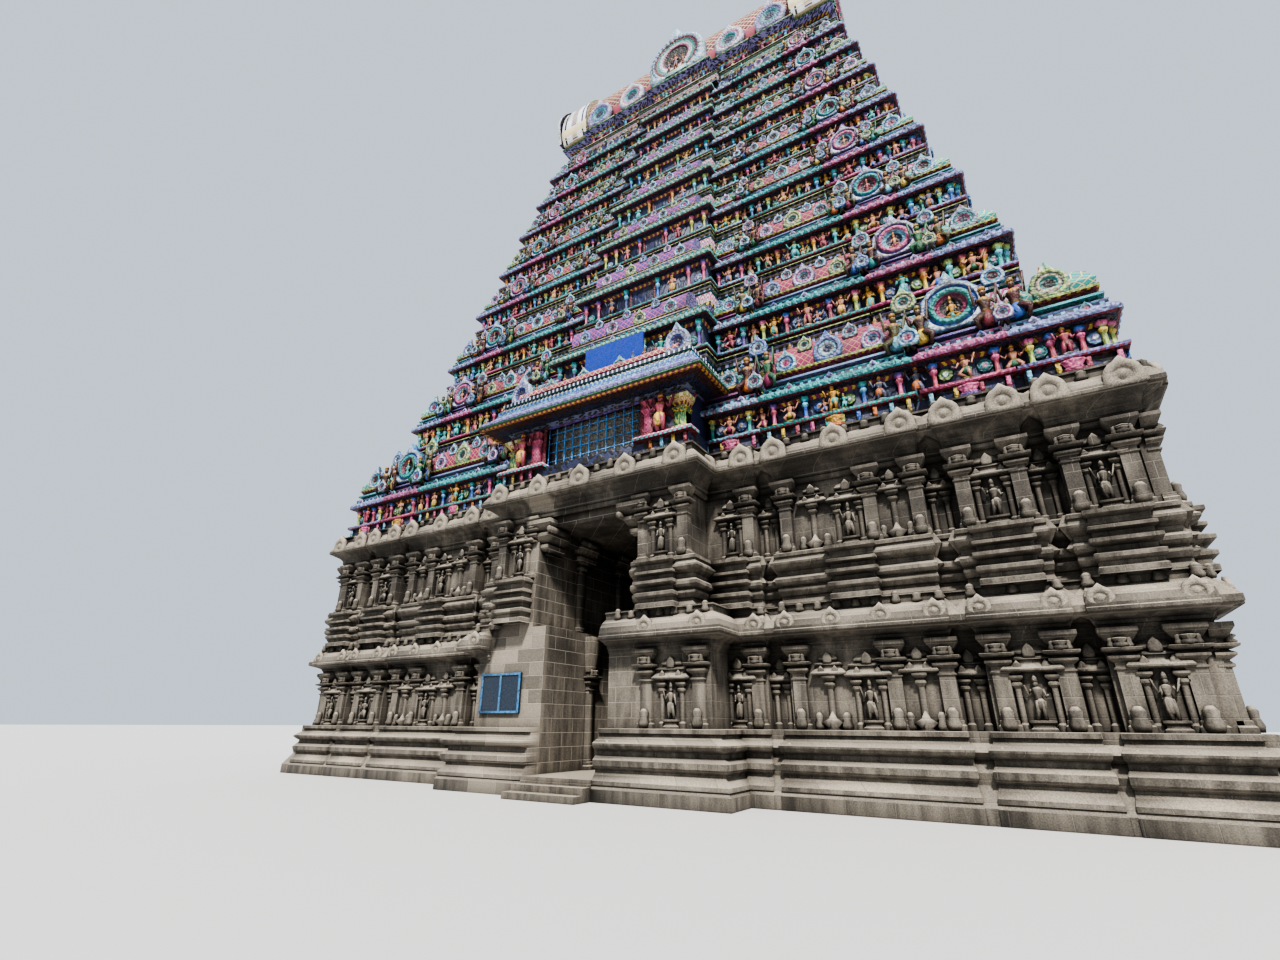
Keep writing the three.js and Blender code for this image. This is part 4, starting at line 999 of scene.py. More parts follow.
class ShrineRoofs:
    """The row of shrine roofs on a storey's cornice: bands, barrels, domes, round gables, bearers."""

    def __init__(self, bag, level):
        self.bag, self.level = bag, level
        self.gables, self.great, self.medallions, self.pots, self.bearers, self.seated = (
            Places() for _ in range(6))

    def bands(self, kind, path, z, turn):
        """The stepped bands under a roof; gives the height that the roof starts from."""
        _, trim, second, under, band = STYLES[kind]
        f = self.level.share
        low, mid, high, top = (z + share * f * (0.62 if kind == "middle" else 1.0)
                               for share in (0.13, 0.28, 0.38, 0.48))
        if path:
            # The thin black strip at mid is painted shadow in the recess between the bands.
            course(self.bag, path, [
                (0.004, z, "black", "slate", DENTILS), (0.004, low, second),
                (0.13 * f, low + 0.03, second, trim, ARCHES), (0.13 * f, low + 0.09 * f, "navy"),
                (0.004, mid, "black"), (0.004, mid + 0.03, under), (0.06 * f, high, under, "yellow", DENTILS),
                (0.1 * f, high + 0.03, band), (0.1 * f, top, band), (-0.2 * f, top)], turn, 0.17)
        return top

    def barrel_roof(self, number, kind, ends, face, z, base, width, turn):
        """A barrel roof with its round gables in front and pots along its top."""
        (x0, x1), f, shrine = ends, self.level.share, self.level.shrine
        rise, more = ROOF_HEIGHT[kind]
        high = z + rise * self.level.scale + more
        barrel(self.bag, x0 - 0.015, x1 + 0.015, face - shrine, shrine * 1.03, base - 0.01, high, turn,
               *LATTICES[kind])
        radius = SIZE["gable"] * (high - base)
        for j, (along, up, size) in enumerate(ROOF_GABLES[kind]):
            r = radius * size
            self.gables.add((x0 + x1) / 2 + along * (x1 - x0), face + 0.06 * f - 0.1 * up,
                            base + up * (high - base), (r, r, r), turn, j + number + self.level.index)
        for x in np.linspace(x0 + 0.15 * width, x1 - 0.15 * width, 5 if kind == "sala" else 3):
            self.pots.add(x, face - shrine, high - 0.04, (0.16 * f, 0.16 * f, 0.34 * f), turn)

    def corner_roof(self, number, x0, x1, face, z, base, turn, domed):
        """The gable of a corner shrine, and on the front and back its square dome under a pot."""
        f = self.level.share
        if domed:
            half = (x1 - x0) / 2 * 1.02
            x, out = (x0 + x1) / 2, face - (x1 - x0) / 2
            high = 1.75 * self.level.scale
            step = base - z
            outline = ((1.04, step), (1.1, step + 0.1 * high), (1.0, 0.46 * high), (0.78, 0.62 * high),
                       (0.45, 0.73 * high), (0.3, 0.78 * high))
            rows = [(r * half - half, z + h, "teal" if n < 4 else "yellow", "cream", LATTICE)
                    for n, (r, h) in enumerate(outline)]
            rows.append((-half * 0.95, z + 0.79 * high))
            around = [(x + a * half, out + b * half, a, b) for a, b in ((-1, 1), (1, 1), (1, -1), (-1, -1))]
            course(self.bag, around, rows, turn, 0.2, closed=True)
            self.pots.add(x, out, z + 0.77 * high, (0.3 * f, 0.3 * f, 0.55 * f), turn)
        r = 0.25 * (x1 - x0)
        self.gables.add((x0 + x1) / 2, face + 0.06 * f, base, (r, r, r), turn, number + self.level.index + 1)

    def gabled_roof(self, number, middle, face, base, turn):
        """The great round gable of a narrow bay, with a seated figure."""
        f, index = self.level.share, self.level.index
        r = 0.056 * self.level.width
        self.great.add(middle, face + 0.05, base - 0.14 * f, (r, r, r), turn, 3 * index + 5)
        self.seated.add(middle, face + 0.1, base - 0.14 * f + 0.35 * r, (r * 0.9, r * 0.6, r * 1.1), turn,
                        number + index)

    def gap(self, left, right, across, turn):
        """Two bearers and two round gables over the wall between two bays."""
        f, roof = self.level.share, self.level.roof
        x = (left + right) / 2
        size = 1.45 * f
        for shift in (-0.3, 0.3):
            self.bearers.add(x + shift * f, across + 0.32, roof + 0.03, (size * 0.86, size * 0.7, size), turn,
                             len(self.bearers.rows) * 3 + 3 + self.level.index, -shift)
        r = min(0.3 * f, (right - left) * 0.5)
        self.gables.add(x, across + 0.12, roof + 1.35 * f, (r, r, r), turn, len(self.gables.rows) + 1)
        self.gables.add(x, across + 0.62, roof + 0.02, (0.8 * r, 0.8 * r, 0.8 * r), turn,
                        len(self.gables.rows) + 3)

    def side(self, side, turn):
        """The roofs of one side."""
        level = self.level
        for number, (kind, x0, x1, face) in enumerate(level.bays(side)):
            if kind == "middle" and not level.index:
                continue
            rise = level.rise if kind == "middle" else 0.0
            z, width = level.roof + rise, x1 - x0
            if kind == "middle":
                x0, x1 = 0.8 * x0 - 0.02, 0.8 * x1 + 0.02
            back = face - 2 * level.shrine - (0.1 if kind != "corner" else -0.2 * level.scale)
            base = self.bands(kind, level.path(side, kind, x0, x1, face, back), z, turn)
            if kind in LATTICES:
                self.barrel_roof(number, kind, (x0, x1), face, z, base, width, turn)
            elif kind == "corner":
                self.corner_roof(number, x0, x1, face, z, base, turn, side in LONG_SIDES)
            else:
                self.gabled_roof(number, (x0 + x1) / 2, face, base, turn)
            for x in np.linspace(x0 + 0.18 * width, x1 - 0.18 * width, MEDALLIONS[kind]):
                self.medallions.add(x, face + 0.24, level.cornice + rise + 0.02, (0.13, 0.13, 0.13), turn,
                                    (len(self.medallions.rows) + 1) % 3)
        across = level.depth if side in LONG_SIDES else level.width
        for left, right in gaps_between(level, side):
            self.gap(left, right, across, turn)

    def finish(self):
        """Stamps all that was gathered."""
        palettes = np.array([tones(*names) for names in GABLE_PALETTES])
        count = len(palettes)
        self.bag.stamp(GABLE, self.gables.rows, palettes[np.array(self.gables.paints) % count])
        self.bag.stamp(GRAND_GABLE, self.great.rows, palettes[np.array(self.great.paints) % count])
        self.bag.stamp(MEDALLION, self.medallions.rows,
                       palettes[np.array(self.medallions.paints)][:, MEDALLION_TONES])
        self.bag.stamp(POT, self.pots.rows, tones("yellow", "crimson"))
        marks = np.array(self.bearers.paints)
        dark = dressed(marks)
        dark[:, 0] = tones("brown", "maroon", "olive", "brown", "green")[marks % 5]
        self.bag.stamp(BEARER, self.bearers.rows, dark, SMOOTH)
        if self.seated.rows:
            self.bag.stamp(SEATED, self.seated.rows, dressed(self.seated.paints), SMOOTH)


LEDGE_PALETTES = (
    ("lilac", "white", "navy", "sky"), ("teal", "sky", "navy", "cream"), ("pink", "white", "navy", "teal"))


def ledge_zone(bag, level):
    """The base of the storey above, over the roofs: drops, painted arches, and the stepped ledge."""
    if level.index + 1 < len(STOREYS):
        above = Level(level.index + 1)
        sides = {side: [above.path(side, kind, x0, x1, face, face - 0.6)
                        for kind, x0, x1, face in above.bays(side)] for side in SIDES}
        width, depth, extra = above.width, above.depth, 0.14
    else:
        sides = {side: [] for side in SIDES}
        width, depth, extra = NECK_WIDTH, NECK_DEPTH, 0.35
        for side in LONG_SIDES:
            sides[side] = [bay(-6.1, -1.84, 1.5, 2.3), bay(1.84, 6.1, 1.5, 2.3), bay(-1.85, 1.85, 2.0, 2.55)]
    f, z = level.share, level.roof
    for number, (side, turn) in enumerate(SIDES.items()):
        paths = [(path, j) for j, path in enumerate(sides[side]) if path]
        if not number:
            paths.append((ring(width, depth), -1))
        for path, j in paths:
            o = extra + 0.004 * (1 + j % 2)
            pair = (("white", "pink"), ("cream", "teal"), ("white", "rose"), ("sky", "white"))[j % 4]
            course(bag, path, [
                (o, z + 1.0 * f, "violet", "navy", SCROLLS), (o, z + 1.3 * f, "yellow", "black", DROPS),
                (o + 0.02, z + 1.46 * f, "cream"), (o + 0.02, z + 1.49 * f, pair[1], pair[0], ARCHES),
                (o + 0.07, z + 1.84 * f, "navy"), (o + 0.01, z + 1.87 * f, "teal"),
                (o + 0.09, z + 1.93 * f, "teal"), (o + 0.02, z + 1.98 * f, "black", "lilac", DENTILS),
                (o + 0.02, z + 2.12 * f, "cream"), (o + 0.08, z + 2.16 * f, "violet"),
                (o + 0.03, z + 2.22 * f, "black", "slate", DENTILS), (o + 0.1, z + 2.29 * f, "lime"),
                (o + 0.1, z + 2.33 * f, "magenta"), (0.0, max(level.next_ledge - 0.15, z + 2.36 * f))],
                turn, 0.2, closed=j < 0)
    small, perched = Places(), Places()
    for side, turn in SIDES.items():
        if level.index + 1 < len(STOREYS):
            spans = [(x0, x1, face) for _, x0, x1, face in above.bays(side)]
        elif side in LONG_SIDES:
            spans = [(-6.1, -1.9, 2.3), (-1.8, 1.8, 2.55), (1.9, 6.1, 2.3)]
        else:
            spans = [(-depth, depth, width)]
        for x0, x1, face in spans:
            count = max(round((x1 - x0) / 0.95), 1)
            for j, t in enumerate((np.arange(count) + 0.5) / count):
                x, out, foot = x0 + t * (x1 - x0), face + extra, z + 1.32 * f
                if (j + level.index) % 2 or count < 2:
                    small.add(x, out + 0.06, foot, (0.2 * f, 0.2 * f, 0.2 * f), turn,
                              j + level.index + int(10 * face))
                else:
                    perched.add(x, out + 0.12, foot, (0.6 * f, 0.5 * f, 0.56 * f), turn)
    if small.rows:
        palettes = np.array([tones(*names) for names in LEDGE_PALETTES])
        bag.stamp(MEDALLION, small.rows, palettes[np.array(small.paints) % 3])
        marks = np.arange(len(perched.rows)) * 3 + level.index
        bag.stamp(IDOL, perched.rows, dressed(marks), SMOOTH)


class GOPURAM_OT_storeys(bpy.types.Operator):
    """Painted walls, figures and shrine roofs of the eight storeys."""

    bl_idname = "gopuram.storeys"
    bl_label = "Painted storeys"

    def execute(self, context):
        take_settings(context, *(f"storey{index + 1}_walls" for index in range(len(STOREYS))))
        rng = np.random.default_rng(11)
        for index in range(len(STOREYS)):
            level = Level(index)
            walls = Bag()
            wall_zone(walls, level, rng)
            walls.piece(f"storey{index + 1}_pillars_and_figures", STACK, "painted_walls")
            roofs = Bag()
            shrines = ShrineRoofs(roofs, level)
            for side, turn in SIDES.items():
                shrines.side(side, turn)
            shrines.finish()
            ledge_zone(roofs, level)
            roofs.piece(f"storey{index + 1}_shrine_roofs", STACK, "painted_parapets")
        return {"FINISHED"}


def slab(bag, x0, x1, out0, out1, z0, z1, turn, paint, trim=None, kind=0, repeat=0.2):
    """A box on a side, from x0 to x1, standing from out0 to out1, between two heights."""
    close = -min((x1 - x0) / 2, out1 - out0)
    course(bag, bay(x0, x1, out0, out1), [(close, z0, paint), (0, z0, paint, trim or paint, kind),
                                          (0, z1, paint), (close, z1)], turn, repeat)


def dado(bag, level):
    """The foot of the first storey: dark panels with coloured posts, and the carved stone band under it."""
    names = ("pink", "blue", "yellow", "teal", "orange", "rose", "lime", "sky")
    posts, lotus = Places(), Places()
    for side, turn in SIDES.items():
        for kind, x0, x1, face in level.bays(side):
            path = level.path(side, kind, x0, x1, face, face - 0.6)
            if path:
                course(bag, path, [(0.146, 8.56, "black", "indigo", SCROLLS), (0.146, 9.02)], turn, 0.5)
                course(bag, path, [(0.15, 8.56, "slate"), (0.19, 8.6, "lilac"), (0.15, 8.66)], turn, 0.5)
            start, end = x0 - 0.05, x1 + 0.05
            count = max(int((end - start) / 0.33), 2)
            for j, x in enumerate(np.linspace(start, end, count)):
                if kind != "middle" or abs(x) >= 1.85:
                    posts.add(x, face + 0.18, 8.64, (SIZE["post"], 0.07, 0.4), turn,
                              tones(names[(j * 3 + int(face * 7)) % 8]))
            if kind != "middle":
                pair = (("violet", "pink"), ("magenta", "pink"), ("orange", "gold"))[len(lotus.rows) % 3]
                lotus.add((x0 + x1) / 2, face + 0.16, 8.66, (0.27, 0.16, 0.36), turn, tones(*pair))
    bag.stamp(POST, posts.rows, np.array(posts.paints))
    bag.stamp(LOTUS, lotus.rows, np.array(lotus.paints))


def great_window(bag, turn):
    """The wide barred opening over the passage with its red posts, two guardians in niches, relief
    pillars and corner columns."""
    face = 9.10
    bar = SIZE["bar"] / 2
    # Bars: a grid of eleven by five panes, in a blue that is partly painted light, made lighter for the
    # light reflected under the canopy.
    for x in np.linspace(-1.72, 1.72, 12):
        slab(bag, x - bar, x + bar, 9.0, 9.03, 8.9, 10.42, turn, "bars")
    for z in np.linspace(8.95, 10.2, 5):
        slab(bag, -1.75, 1.75, 9.0, 9.02, z - 0.9 * bar, z + 0.9 * bar, turn, "bars")
    slab(bag, -1.74, 1.74, 8.9, 8.91, 8.93, 10.42, turn, "netting")
    figures = []
    for s in (-1, 1):
        a, b = sorted((s * 1.75, s * 1.9))
        slab(bag, a, b, face - 0.3, face + 0.05, 8.78, 10.44, turn, "crimson")
        a, b = sorted((s * 1.94, s * 2.2))
        course(bag, bay(a, b, face - 0.1, face + 0.16), [
            (0.04, 9.15, "rose", "crimson", SCROLLS), (0.04, 9.3, "pink", "crimson", SCROLLS),
            (0.0, 9.33, "pink", "crimson", ARCHES), (0.0, 9.6, "pink", "rose", ARCHES),
            (0.0, 9.86, "rose", "pink", DENTILS), (0.08, 9.98, "pink", "rose", ARCHES),
            (0.02, 10.1, "rose", "crimson", DENTILS), (0.1, 10.24, "pink"), (0.0, 10.34)], turn, 0.13)
        a, b = sorted((s * 2.24, s * 2.86))
        slab(bag, a, b, face - 0.1, face + 0.012, 9.15, 10.34, turn, "navy", "crimson", SCROLLS, 0.6)
        a, b = sorted((s * 2.86, s * 3.2))
        course(bag, bay(a, b, face - 0.3, face + 0.06), [
            (0.06, 9.15, "lime", "cream", DENTILS), (0.06, 9.28, "teal", "yellow", SCROLLS),
            (0.0, 9.32, "lime", "green", SCROLLS), (0.0, 9.72, "yellow", "green", SCROLLS),
            (0.06, 9.84, "cream", "lime", ARCHES), (0.0, 9.92, "crimson", "yellow", DENTILS),
            (0.05, 10.0, "cream", "gold", ARCHES), (0.14, 10.12, "cream", "lime", DENTILS),
            (0.16, 10.2, "lime", "cream", ARCHES), (0.02, 10.34)], turn, 0.14)
        # The ledge beside the window, over short posts.
        a, b = sorted((s * 1.92, s * 3.2))
        course(bag, bay(a, b, face - 0.2, face + 0.02), [
            (0.14, 8.98, "crimson"), (0.3, 9.02, "teal", "magenta", DENTILS),
            (0.3, 9.09, "pink", "white", DENTILS), (0.26, 9.15, "pink"), (-0.1, 9.155)], turn, 0.1)
        figures.append((s * 2.53, face + 0.24, 9.18, 1.5, 1.2, 1.08, turn, 0))
    red = np.array([PAINT["rose"] * 0.9, PAINT["yellow"], PAINT["gold"], PAINT["crimson"]])
    bag.stamp(POSES[1], figures, red, SMOOTH)
    # The carved dark beam that the canopy rests on.
    course(bag, bay(-3.2, 3.2, face - 0.4, face), [
        (0.02, 10.34, "maroon", "violet", SCROLLS), (0.05, 10.42, "black", "slate", SCROLLS),
        (0.16, 10.56, "black", "violet", SCROLLS)], turn, 0.34)


def canopy(bag, turn):
    """The canopy over the great window: fringe, green lip, lilac slope, dotted strips, and a pink barrel
    with round gables."""
    path = bay(-3.26, 3.26, 7.2, 9.10)
    course(bag, path, [
        (0.02, 10.538, "black", "indigo", SCROLLS), (0.4, 10.55, "black", "maroon", SCROLLS),
        (0.66, 10.545, "gold", "maroon", DENTILS), (0.745, 10.52, "gold", "crimson", DROPS),
        (0.76, 10.61, "green"), (0.80, 10.63, "green"), (0.78, 10.70, "teal"),
        (0.70, 10.74, "white", "violet", SCROLLS), (0.60, 10.86, "lilac", "navy", SCROLLS),
        (0.44, 11.06, "sky", "violet", SCROLLS), (0.37, 11.19, "white"),
        (0.38, 11.21, "blue", "sky", DENTILS), (0.38, 11.30, "black"),
        (0.34, 11.32, "cream", "black", DENTILS), (0.30, 11.38, "violet"),
        (0.23, 11.41, "black", "white", DENTILS), (0.23, 11.47, "teal"),
        (0.28, 11.50, "navy", "white", DENTILS), (0.28, 11.60, "blue"), (0.0, 11.61, "blue")], turn, 0.15)
    course(bag, bay(-3.05, 3.05, 8.3, 9.02), [
        (0.0, 11.6, "crimson", "black", DENTILS), (0.03, 11.66, "pink", "white", ARCHES),
        (0.0, 11.82)], turn, 0.16)
    barrel(bag, -3.04, 3.04, 8.72, 0.45, 11.8, 12.14, turn, "rose", "cream")
    ripple(bag, -3.26, 3.26, 9.10, [(0.79, 10.69, 0.0), (0.76, 10.74, 0.05), (0.66, 10.84, 0.05),
                                    (0.6, 10.88, 0.0)], turn, 0.24, "lilac", "violet")
    r = 0.27
    rows = np.array([(x, 9.1, 11.62, r, r, r, turn, 0) for x in (-1.75, -0.42, 0.95)])
    bag.stamp(GABLE, rows, tones("teal", "sky", "navy", "white", "teal", "navy", "cream"))
    # Scrolls that turn up at the ends of the barrel, and small seated figures along it.
    ends = np.array([(s * 2.98, 9.12, 11.6, 0.4, 0.5, 0.46, turn, 0) for s in (-1, 1)])
    bag.stamp(GABLE, ends, tones("sky", "lilac", "white", "blue", "violet", "navy", "white"))
    xs = np.array([-2.5, -2.1, -1.3, 1.35, 1.75, 2.15, 2.55])
    rows = np.array([(x, 8.95, 12.0, 0.36, 0.34, 0.42, turn, 0) for x in xs])
    bag.stamp(SEATED, rows, dressed(np.arange(len(xs)) * 3 + 2))


class GOPURAM_OT_great_window(bpy.types.Operator):
    """The great window, its guardians and canopy, and the posts at the foot of the first storey."""

    bl_idname = "gopuram.great_window"
    bl_label = "Great window"

    def execute(self, context):
        take_settings(context, "name_panel")
        window, cover, foot = Bag(), Bag(), Bag()
        for side in LONG_SIDES:
            great_window(window, SIDES[side])
            canopy(cover, SIDES[side])
        dado(foot, Level(0))
        window.piece("great_window", STACK, "painted_walls")
        cover.piece("great_canopy", STACK, "painted_canopies")
        foot.piece("storey1_foot_posts", STACK, "painted_walls")
        return {"FINISHED"}


# Neck, vault and ridge

# Half of the vault's section, from its foot to its ridge: distance out and height.
VAULT_SECTION = np.array([(2.25, 0), (2.42, 0.4), (2.5, 1.0), (2.46, 1.5), (2.34, 2.05), (2.12, 2.6),
                          (1.8, 3.12), (1.4, 3.58), (0.95, 3.96), (0.48, 4.24), (0.16, 4.38), (0, 4.42)])
# Half length of the tiled part and of the whole vault, and the bands of its ends.
VAULT_BODY, VAULT_END = 5.98, 7.78
END_STRIPS = (("white", "black", DENTILS), ("lime", "white", DROPS), ("cream", "violet", ARCHES),
              ("sky", "white", DROPS), ("white", "navy", DENTILS))


def vault_skin(bag, grow, strips):
    """The vault's section moved outwards by grow and carried along the ridge. A strip holds its start and
    end, its colours and pattern, and how often the pattern repeats."""
    half = VAULT_SECTION.copy()
    direction = np.gradient(half, axis=0)
    normal = np.stack([direction[:, 1], -direction[:, 0]], 1)
    normal /= np.linalg.norm(normal, axis=1, keepdims=True)
    normal[0], normal[-1] = (1, 0), (0, 1)
    half = half + normal * grow
    section = np.concatenate([half, half[-2::-1] * (-1, 1)])
    n = len(section)
    length = np.concatenate([[0], np.cumsum(np.linalg.norm(np.diff(section, axis=0), axis=1))])
    for start, end, paint, trim, kind, repeat in strips:
        points = np.concatenate([np.stack([np.full(n, x), section[:, 0], VAULT_FOOT + section[:, 1]], 1)
                                 for x in (start, end)])
        uv = np.concatenate([np.stack([np.full(n, x / repeat), length / repeat], 1) for x in (start, end)])
        i = np.arange(n - 1)
        bag.add(points, np.stack([i, i + n, i + n + 1, i + 1], 1)[:, ::-1], PAINT[paint], PAINT[trim], uv,
                kind)
    for x, way in ((strips[0][0], -1), (strips[-1][1], 1)):
        points = np.concatenate([np.stack([np.full(n, x), section[:, 0], VAULT_FOOT + section[:, 1]], 1),
                                 [[x, 0, VAULT_FOOT]]])
        i = np.arange(n - 1)
        faces = np.stack([i, i + 1, np.full(n - 1, n), np.full(n - 1, -1)], 1)
        if way < 0:
            faces[:, :3] = faces[:, :3][:, ::-1]
        bag.add(points, faces, PAINT["cream"])


def gable_end(bag, side):
    """The end of the vault: rings of petals that follow its section, round a dark niche with figures."""
    x = side * 7.76
    half = VAULT_SECTION + (0.2, 0)
    section = np.concatenate([half, half[-2::-1] * (-1, 1)])
    centre = np.array([0, PETAL_CENTRE])
    rings = ((1.08, 0.0, "white"), (1.08, 0.16, "lilac"), (0.93, 0.2, "blue"), (0.88, 0.1, "crimson"),
             (0.80, 0.22, "white"), (0.72, 0.1, "teal"), (0.6, 0.2, "pink"), (0.5, 0.05, "navy"),
             (0.0, 0.05, "navy"))
    n = len(section)
    angle = np.arctan2(section[:, 1] - PETAL_CENTRE, section[:, 0])
    for inner, outer in zip(rings[:-1], rings[1:]):
        points, name = [], inner[2]
        for r, d, _ in (inner, outer):
            reach = r * (1 + (0.025 if r > 0.85 else 0) * np.cos(angle * 24))
            yz = centre + (section - centre) * reach[:, None]
            yz[:, 1] = np.maximum(yz[:, 1], 0)
            points.append(np.stack([np.full(n, x + side * d), yz[:, 0], VAULT_FOOT + yz[:, 1]], 1))
        i = np.arange(n - 1)
        faces = np.stack([i, i + 1, i + n + 1, i + n], 1)
        if side < 0:
            faces = faces[:, ::-1]
        uv = np.stack([np.tile(np.arange(n), 2), np.repeat([0.0, 1.0], n)], 1)
        kind = DENTILS if name in ("crimson", "lilac") else PLAIN
        bag.add(np.concatenate(points), faces, PAINT[name], PAINT["cream"], uv, kind)
    turn = SIDES["right"] if side > 0 else SIDES["left"]
    slab(bag, -1.5, 1.5, 7.6, 7.9, 33.256, 33.6, turn, "crimson", "white", ARCHES, 0.24)
    slab(bag, -1.25, 1.25, 7.6, 7.86, 33.6, 33.9, turn, "teal", "yellow", DENTILS, 0.16)
    slab(bag, -2.3, 2.3, 7.6, 7.795, 33.256, 34.0, turn, "navy", "violet", SCROLLS, 0.3)
    rows = np.array([(0, 7.9, 33.9, 1.6, 1.3, 1.45, turn, 0), (0.85, 7.86, 33.9, 1.2, 1.1, 1.1, turn, 0),
                     (-0.85, 7.86, 33.9, 1.2, 1.1, 1.1, turn, 0)])
    bag.stamp(POSES[2], rows, dressed(np.array([3, 5, 9])))


NECK_PILLARS = (("violet", "rose", "pink", "magenta"), ("teal", "sky", "teal", "blue"))


def neck(bag):
    """The neck under the vault: slatted dark bands between small painted shrines, each with two pillars
    and a figure, under the round gables of the eave."""
    course(bag, ring(NECK_WIDTH, NECK_DEPTH), [
        (0.004, 31.9, "navy"), (0.004, 32.0, "white"), (0.05, 32.02, "white"), (0.05, 32.06, "navy"),
        (0.01, 32.08, "black", "indigo", DENTILS), (0.01, 32.3, "white"),
        (0.06, 32.32, "sky", "white", DENTILS), (0.06, 32.38, "navy"),
        (0.01, 32.4, "black", "indigo", DENTILS), (0.01, 32.62, "white"),
        (0.08, 32.65, "white", "sky", DENTILS), (0.08, 32.72, "navy"), (0.02, 32.75, "indigo"),
        (0.02, 32.9)], 0.0, 0.2, closed=True)
    figures, pillars, gables, pots = (Places() for _ in range(4))
    for turn in LONG_TURNS:
        for j, (x, half, out) in enumerate(NECK_SHRINES):
            path = bay(x - half, x + half, out - 0.9, out)
            course(bag, path, [(0.354, 31.7, "magenta", "white", ARCHES), (0.354, 31.86, "cream"),
                               (0.4, 31.88, "cream"), (0.4, 31.92, "cream"), (0.0, 31.925)], turn, 0.2)
            course(bag, path, [(0.004, NECK_FOOT, "navy", "indigo", SCROLLS),
                               (0.004, 32.62, "pink", "magenta", DENTILS),
                               (0.06, 32.72, "teal", "white", DENTILS), (0.06, 32.9)], turn, 0.3)
            spots = (-1.38, -0.95, -0.52, 0.52, 0.95, 1.38) if j == 2 else (-0.58, 0.58)
            for i, dx in enumerate(spots):
                pillars.add(x + dx, out + 0.06, 31.92, (0.13, 0.13, 0.78), turn,
                            tones(*NECK_PILLARS[(j + i) % 2]))
            for dx in ((-1.16, -0.73, 0.73, 1.16) if j == 2 else (0.0,)):
                figures.add(x + dx, out + 0.16, 31.93, (0.8, 0.7, 0.72), turn)
            if j != 2:
                gables.add(x, 2.7, 33.2, (0.76, 0.6, 0.74), turn, j)
                pots.add(x, 2.5, 34.5, (0.16, 0.16, 0.42), turn)
        for x in (-6.6, -3.98, -1.85, 1.85, 3.98, 6.6):
            figures.add(x, 2.06, 31.95, (0.7, 0.6, 0.7), turn)
    for turn in (SIDES["left"], SIDES["right"]):
        for y in (-1.7, -0.6, 0.6, 1.7):
            pillars.add(y, 7.56, 31.92, (0.13, 0.13, 0.9), turn, tones(*NECK_PILLARS[1]))
        for y in (-1.15, 0.0, 1.15):
            figures.add(y, 7.62, 31.93, (0.85, 0.7, 0.76), turn)
    bag.stamp(PILLAR, pillars.rows, np.array(pillars.paints))
    rows = np.array(figures.rows)
    for k in range(3):
        bag.stamp(POSES[k], rows[k::3], dressed(np.arange(len(rows[k::3])) * 3 + k))
    palettes = np.array([tones(*names) for names in (
        ("white", "lilac", "violet", "teal", "sky", "navy", "lilac"),
        ("lilac", "white", "pink", "sky", "teal", "navy", "white"))])
    bag.stamp(GABLE, gables.rows, palettes[np.array(gables.paints) % 2])
    bag.stamp(POT, pots.rows, tones("navy", "green"))


def eave(bag):
    """The lip under the vault: green and gold over a patterned soffit."""
    parts = [(ring(NECK_WIDTH, NECK_DEPTH), 0.0, True)]
    for turn in LONG_TURNS:
        for x, half, out in NECK_SHRINES:
            parts.append((bay(x - half, x + half, out - 0.9, out), turn, False))
    for path, turn, closed in parts:
        course(bag, path, [
            (0.006, 32.9, "crimson", "yellow", DENTILS), (0.13, 32.95, "navy", "lilac", SCROLLS),
            (0.41, 33.07, "green"), (0.42, 33.12, "green", "lime", DENTILS), (0.42, 33.17, "cream"),
            (0.32, 33.255, "cream"), (-0.1, 33.256)], turn, 0.2, closed=closed)


def great_gable():
    """The great round gable in the middle of the vault: petals, beads and rings round a niche."""
    return outwards(horseshoe([
        (1.08, -0.75, 0), (1.08, 0.0, 0), (0.93, 0.07, 0), (0.9, 0.02, 1), (0.82, 0.06, 1), (0.79, 0.0, 2),
        (0.71, 0.05, 2), (0.68, 0.0, 3), (0.58, 0.06, 3), (0.55, 0.0, 4), (0.52, 0.05, 4), (0.5, -0.01, 5),
        (0.45, -0.01, 5)], 56, 28, 3))


def ridge(bag):
    """The kerb on the vault with nine gilded kalasams, each a pot on a stem under a long bud, and the
    thin rod."""
    profile = [
        (0.14, 0), (0.19, 0.01), (0.2, 0.05), (0.12, 0.1), (0.09, 0.15), (0.13, 0.2), (0.22, 0.28),
        (0.26, 0.38), (0.25, 0.46), (0.18, 0.56), (0.1, 0.63), (0.08, 0.68), (0.14, 0.74), (0.15, 0.79),
        (0.09, 0.85), (0.06, 0.92), (0.1, 0.98), (0.09, 1.05), (0.045, 1.16), (0.012, 1.3)]
    shape = lathe(profile, 20)
    rows = np.array([(x, 0, 37.77, 1, 1, 1, 0, 0) for x in (np.arange(9) - 4) * 1.4])
    bag.stamp(shape, rows, tones("gold"), 1)
    bag.add(*box((-5.9, -0.2, 37.7), (5.9, 0.2, 37.79))[:2], PAINT["cream"])
    bag.add(*box((-5.48, -0.03, 37.75), (-5.42, 0.03, 39.75))[:2], PAINT["white"])
    bag.add(*box((-5.52, -0.06, 38.1), (-5.38, 0.06, 38.3))[:2], PAINT["white"])


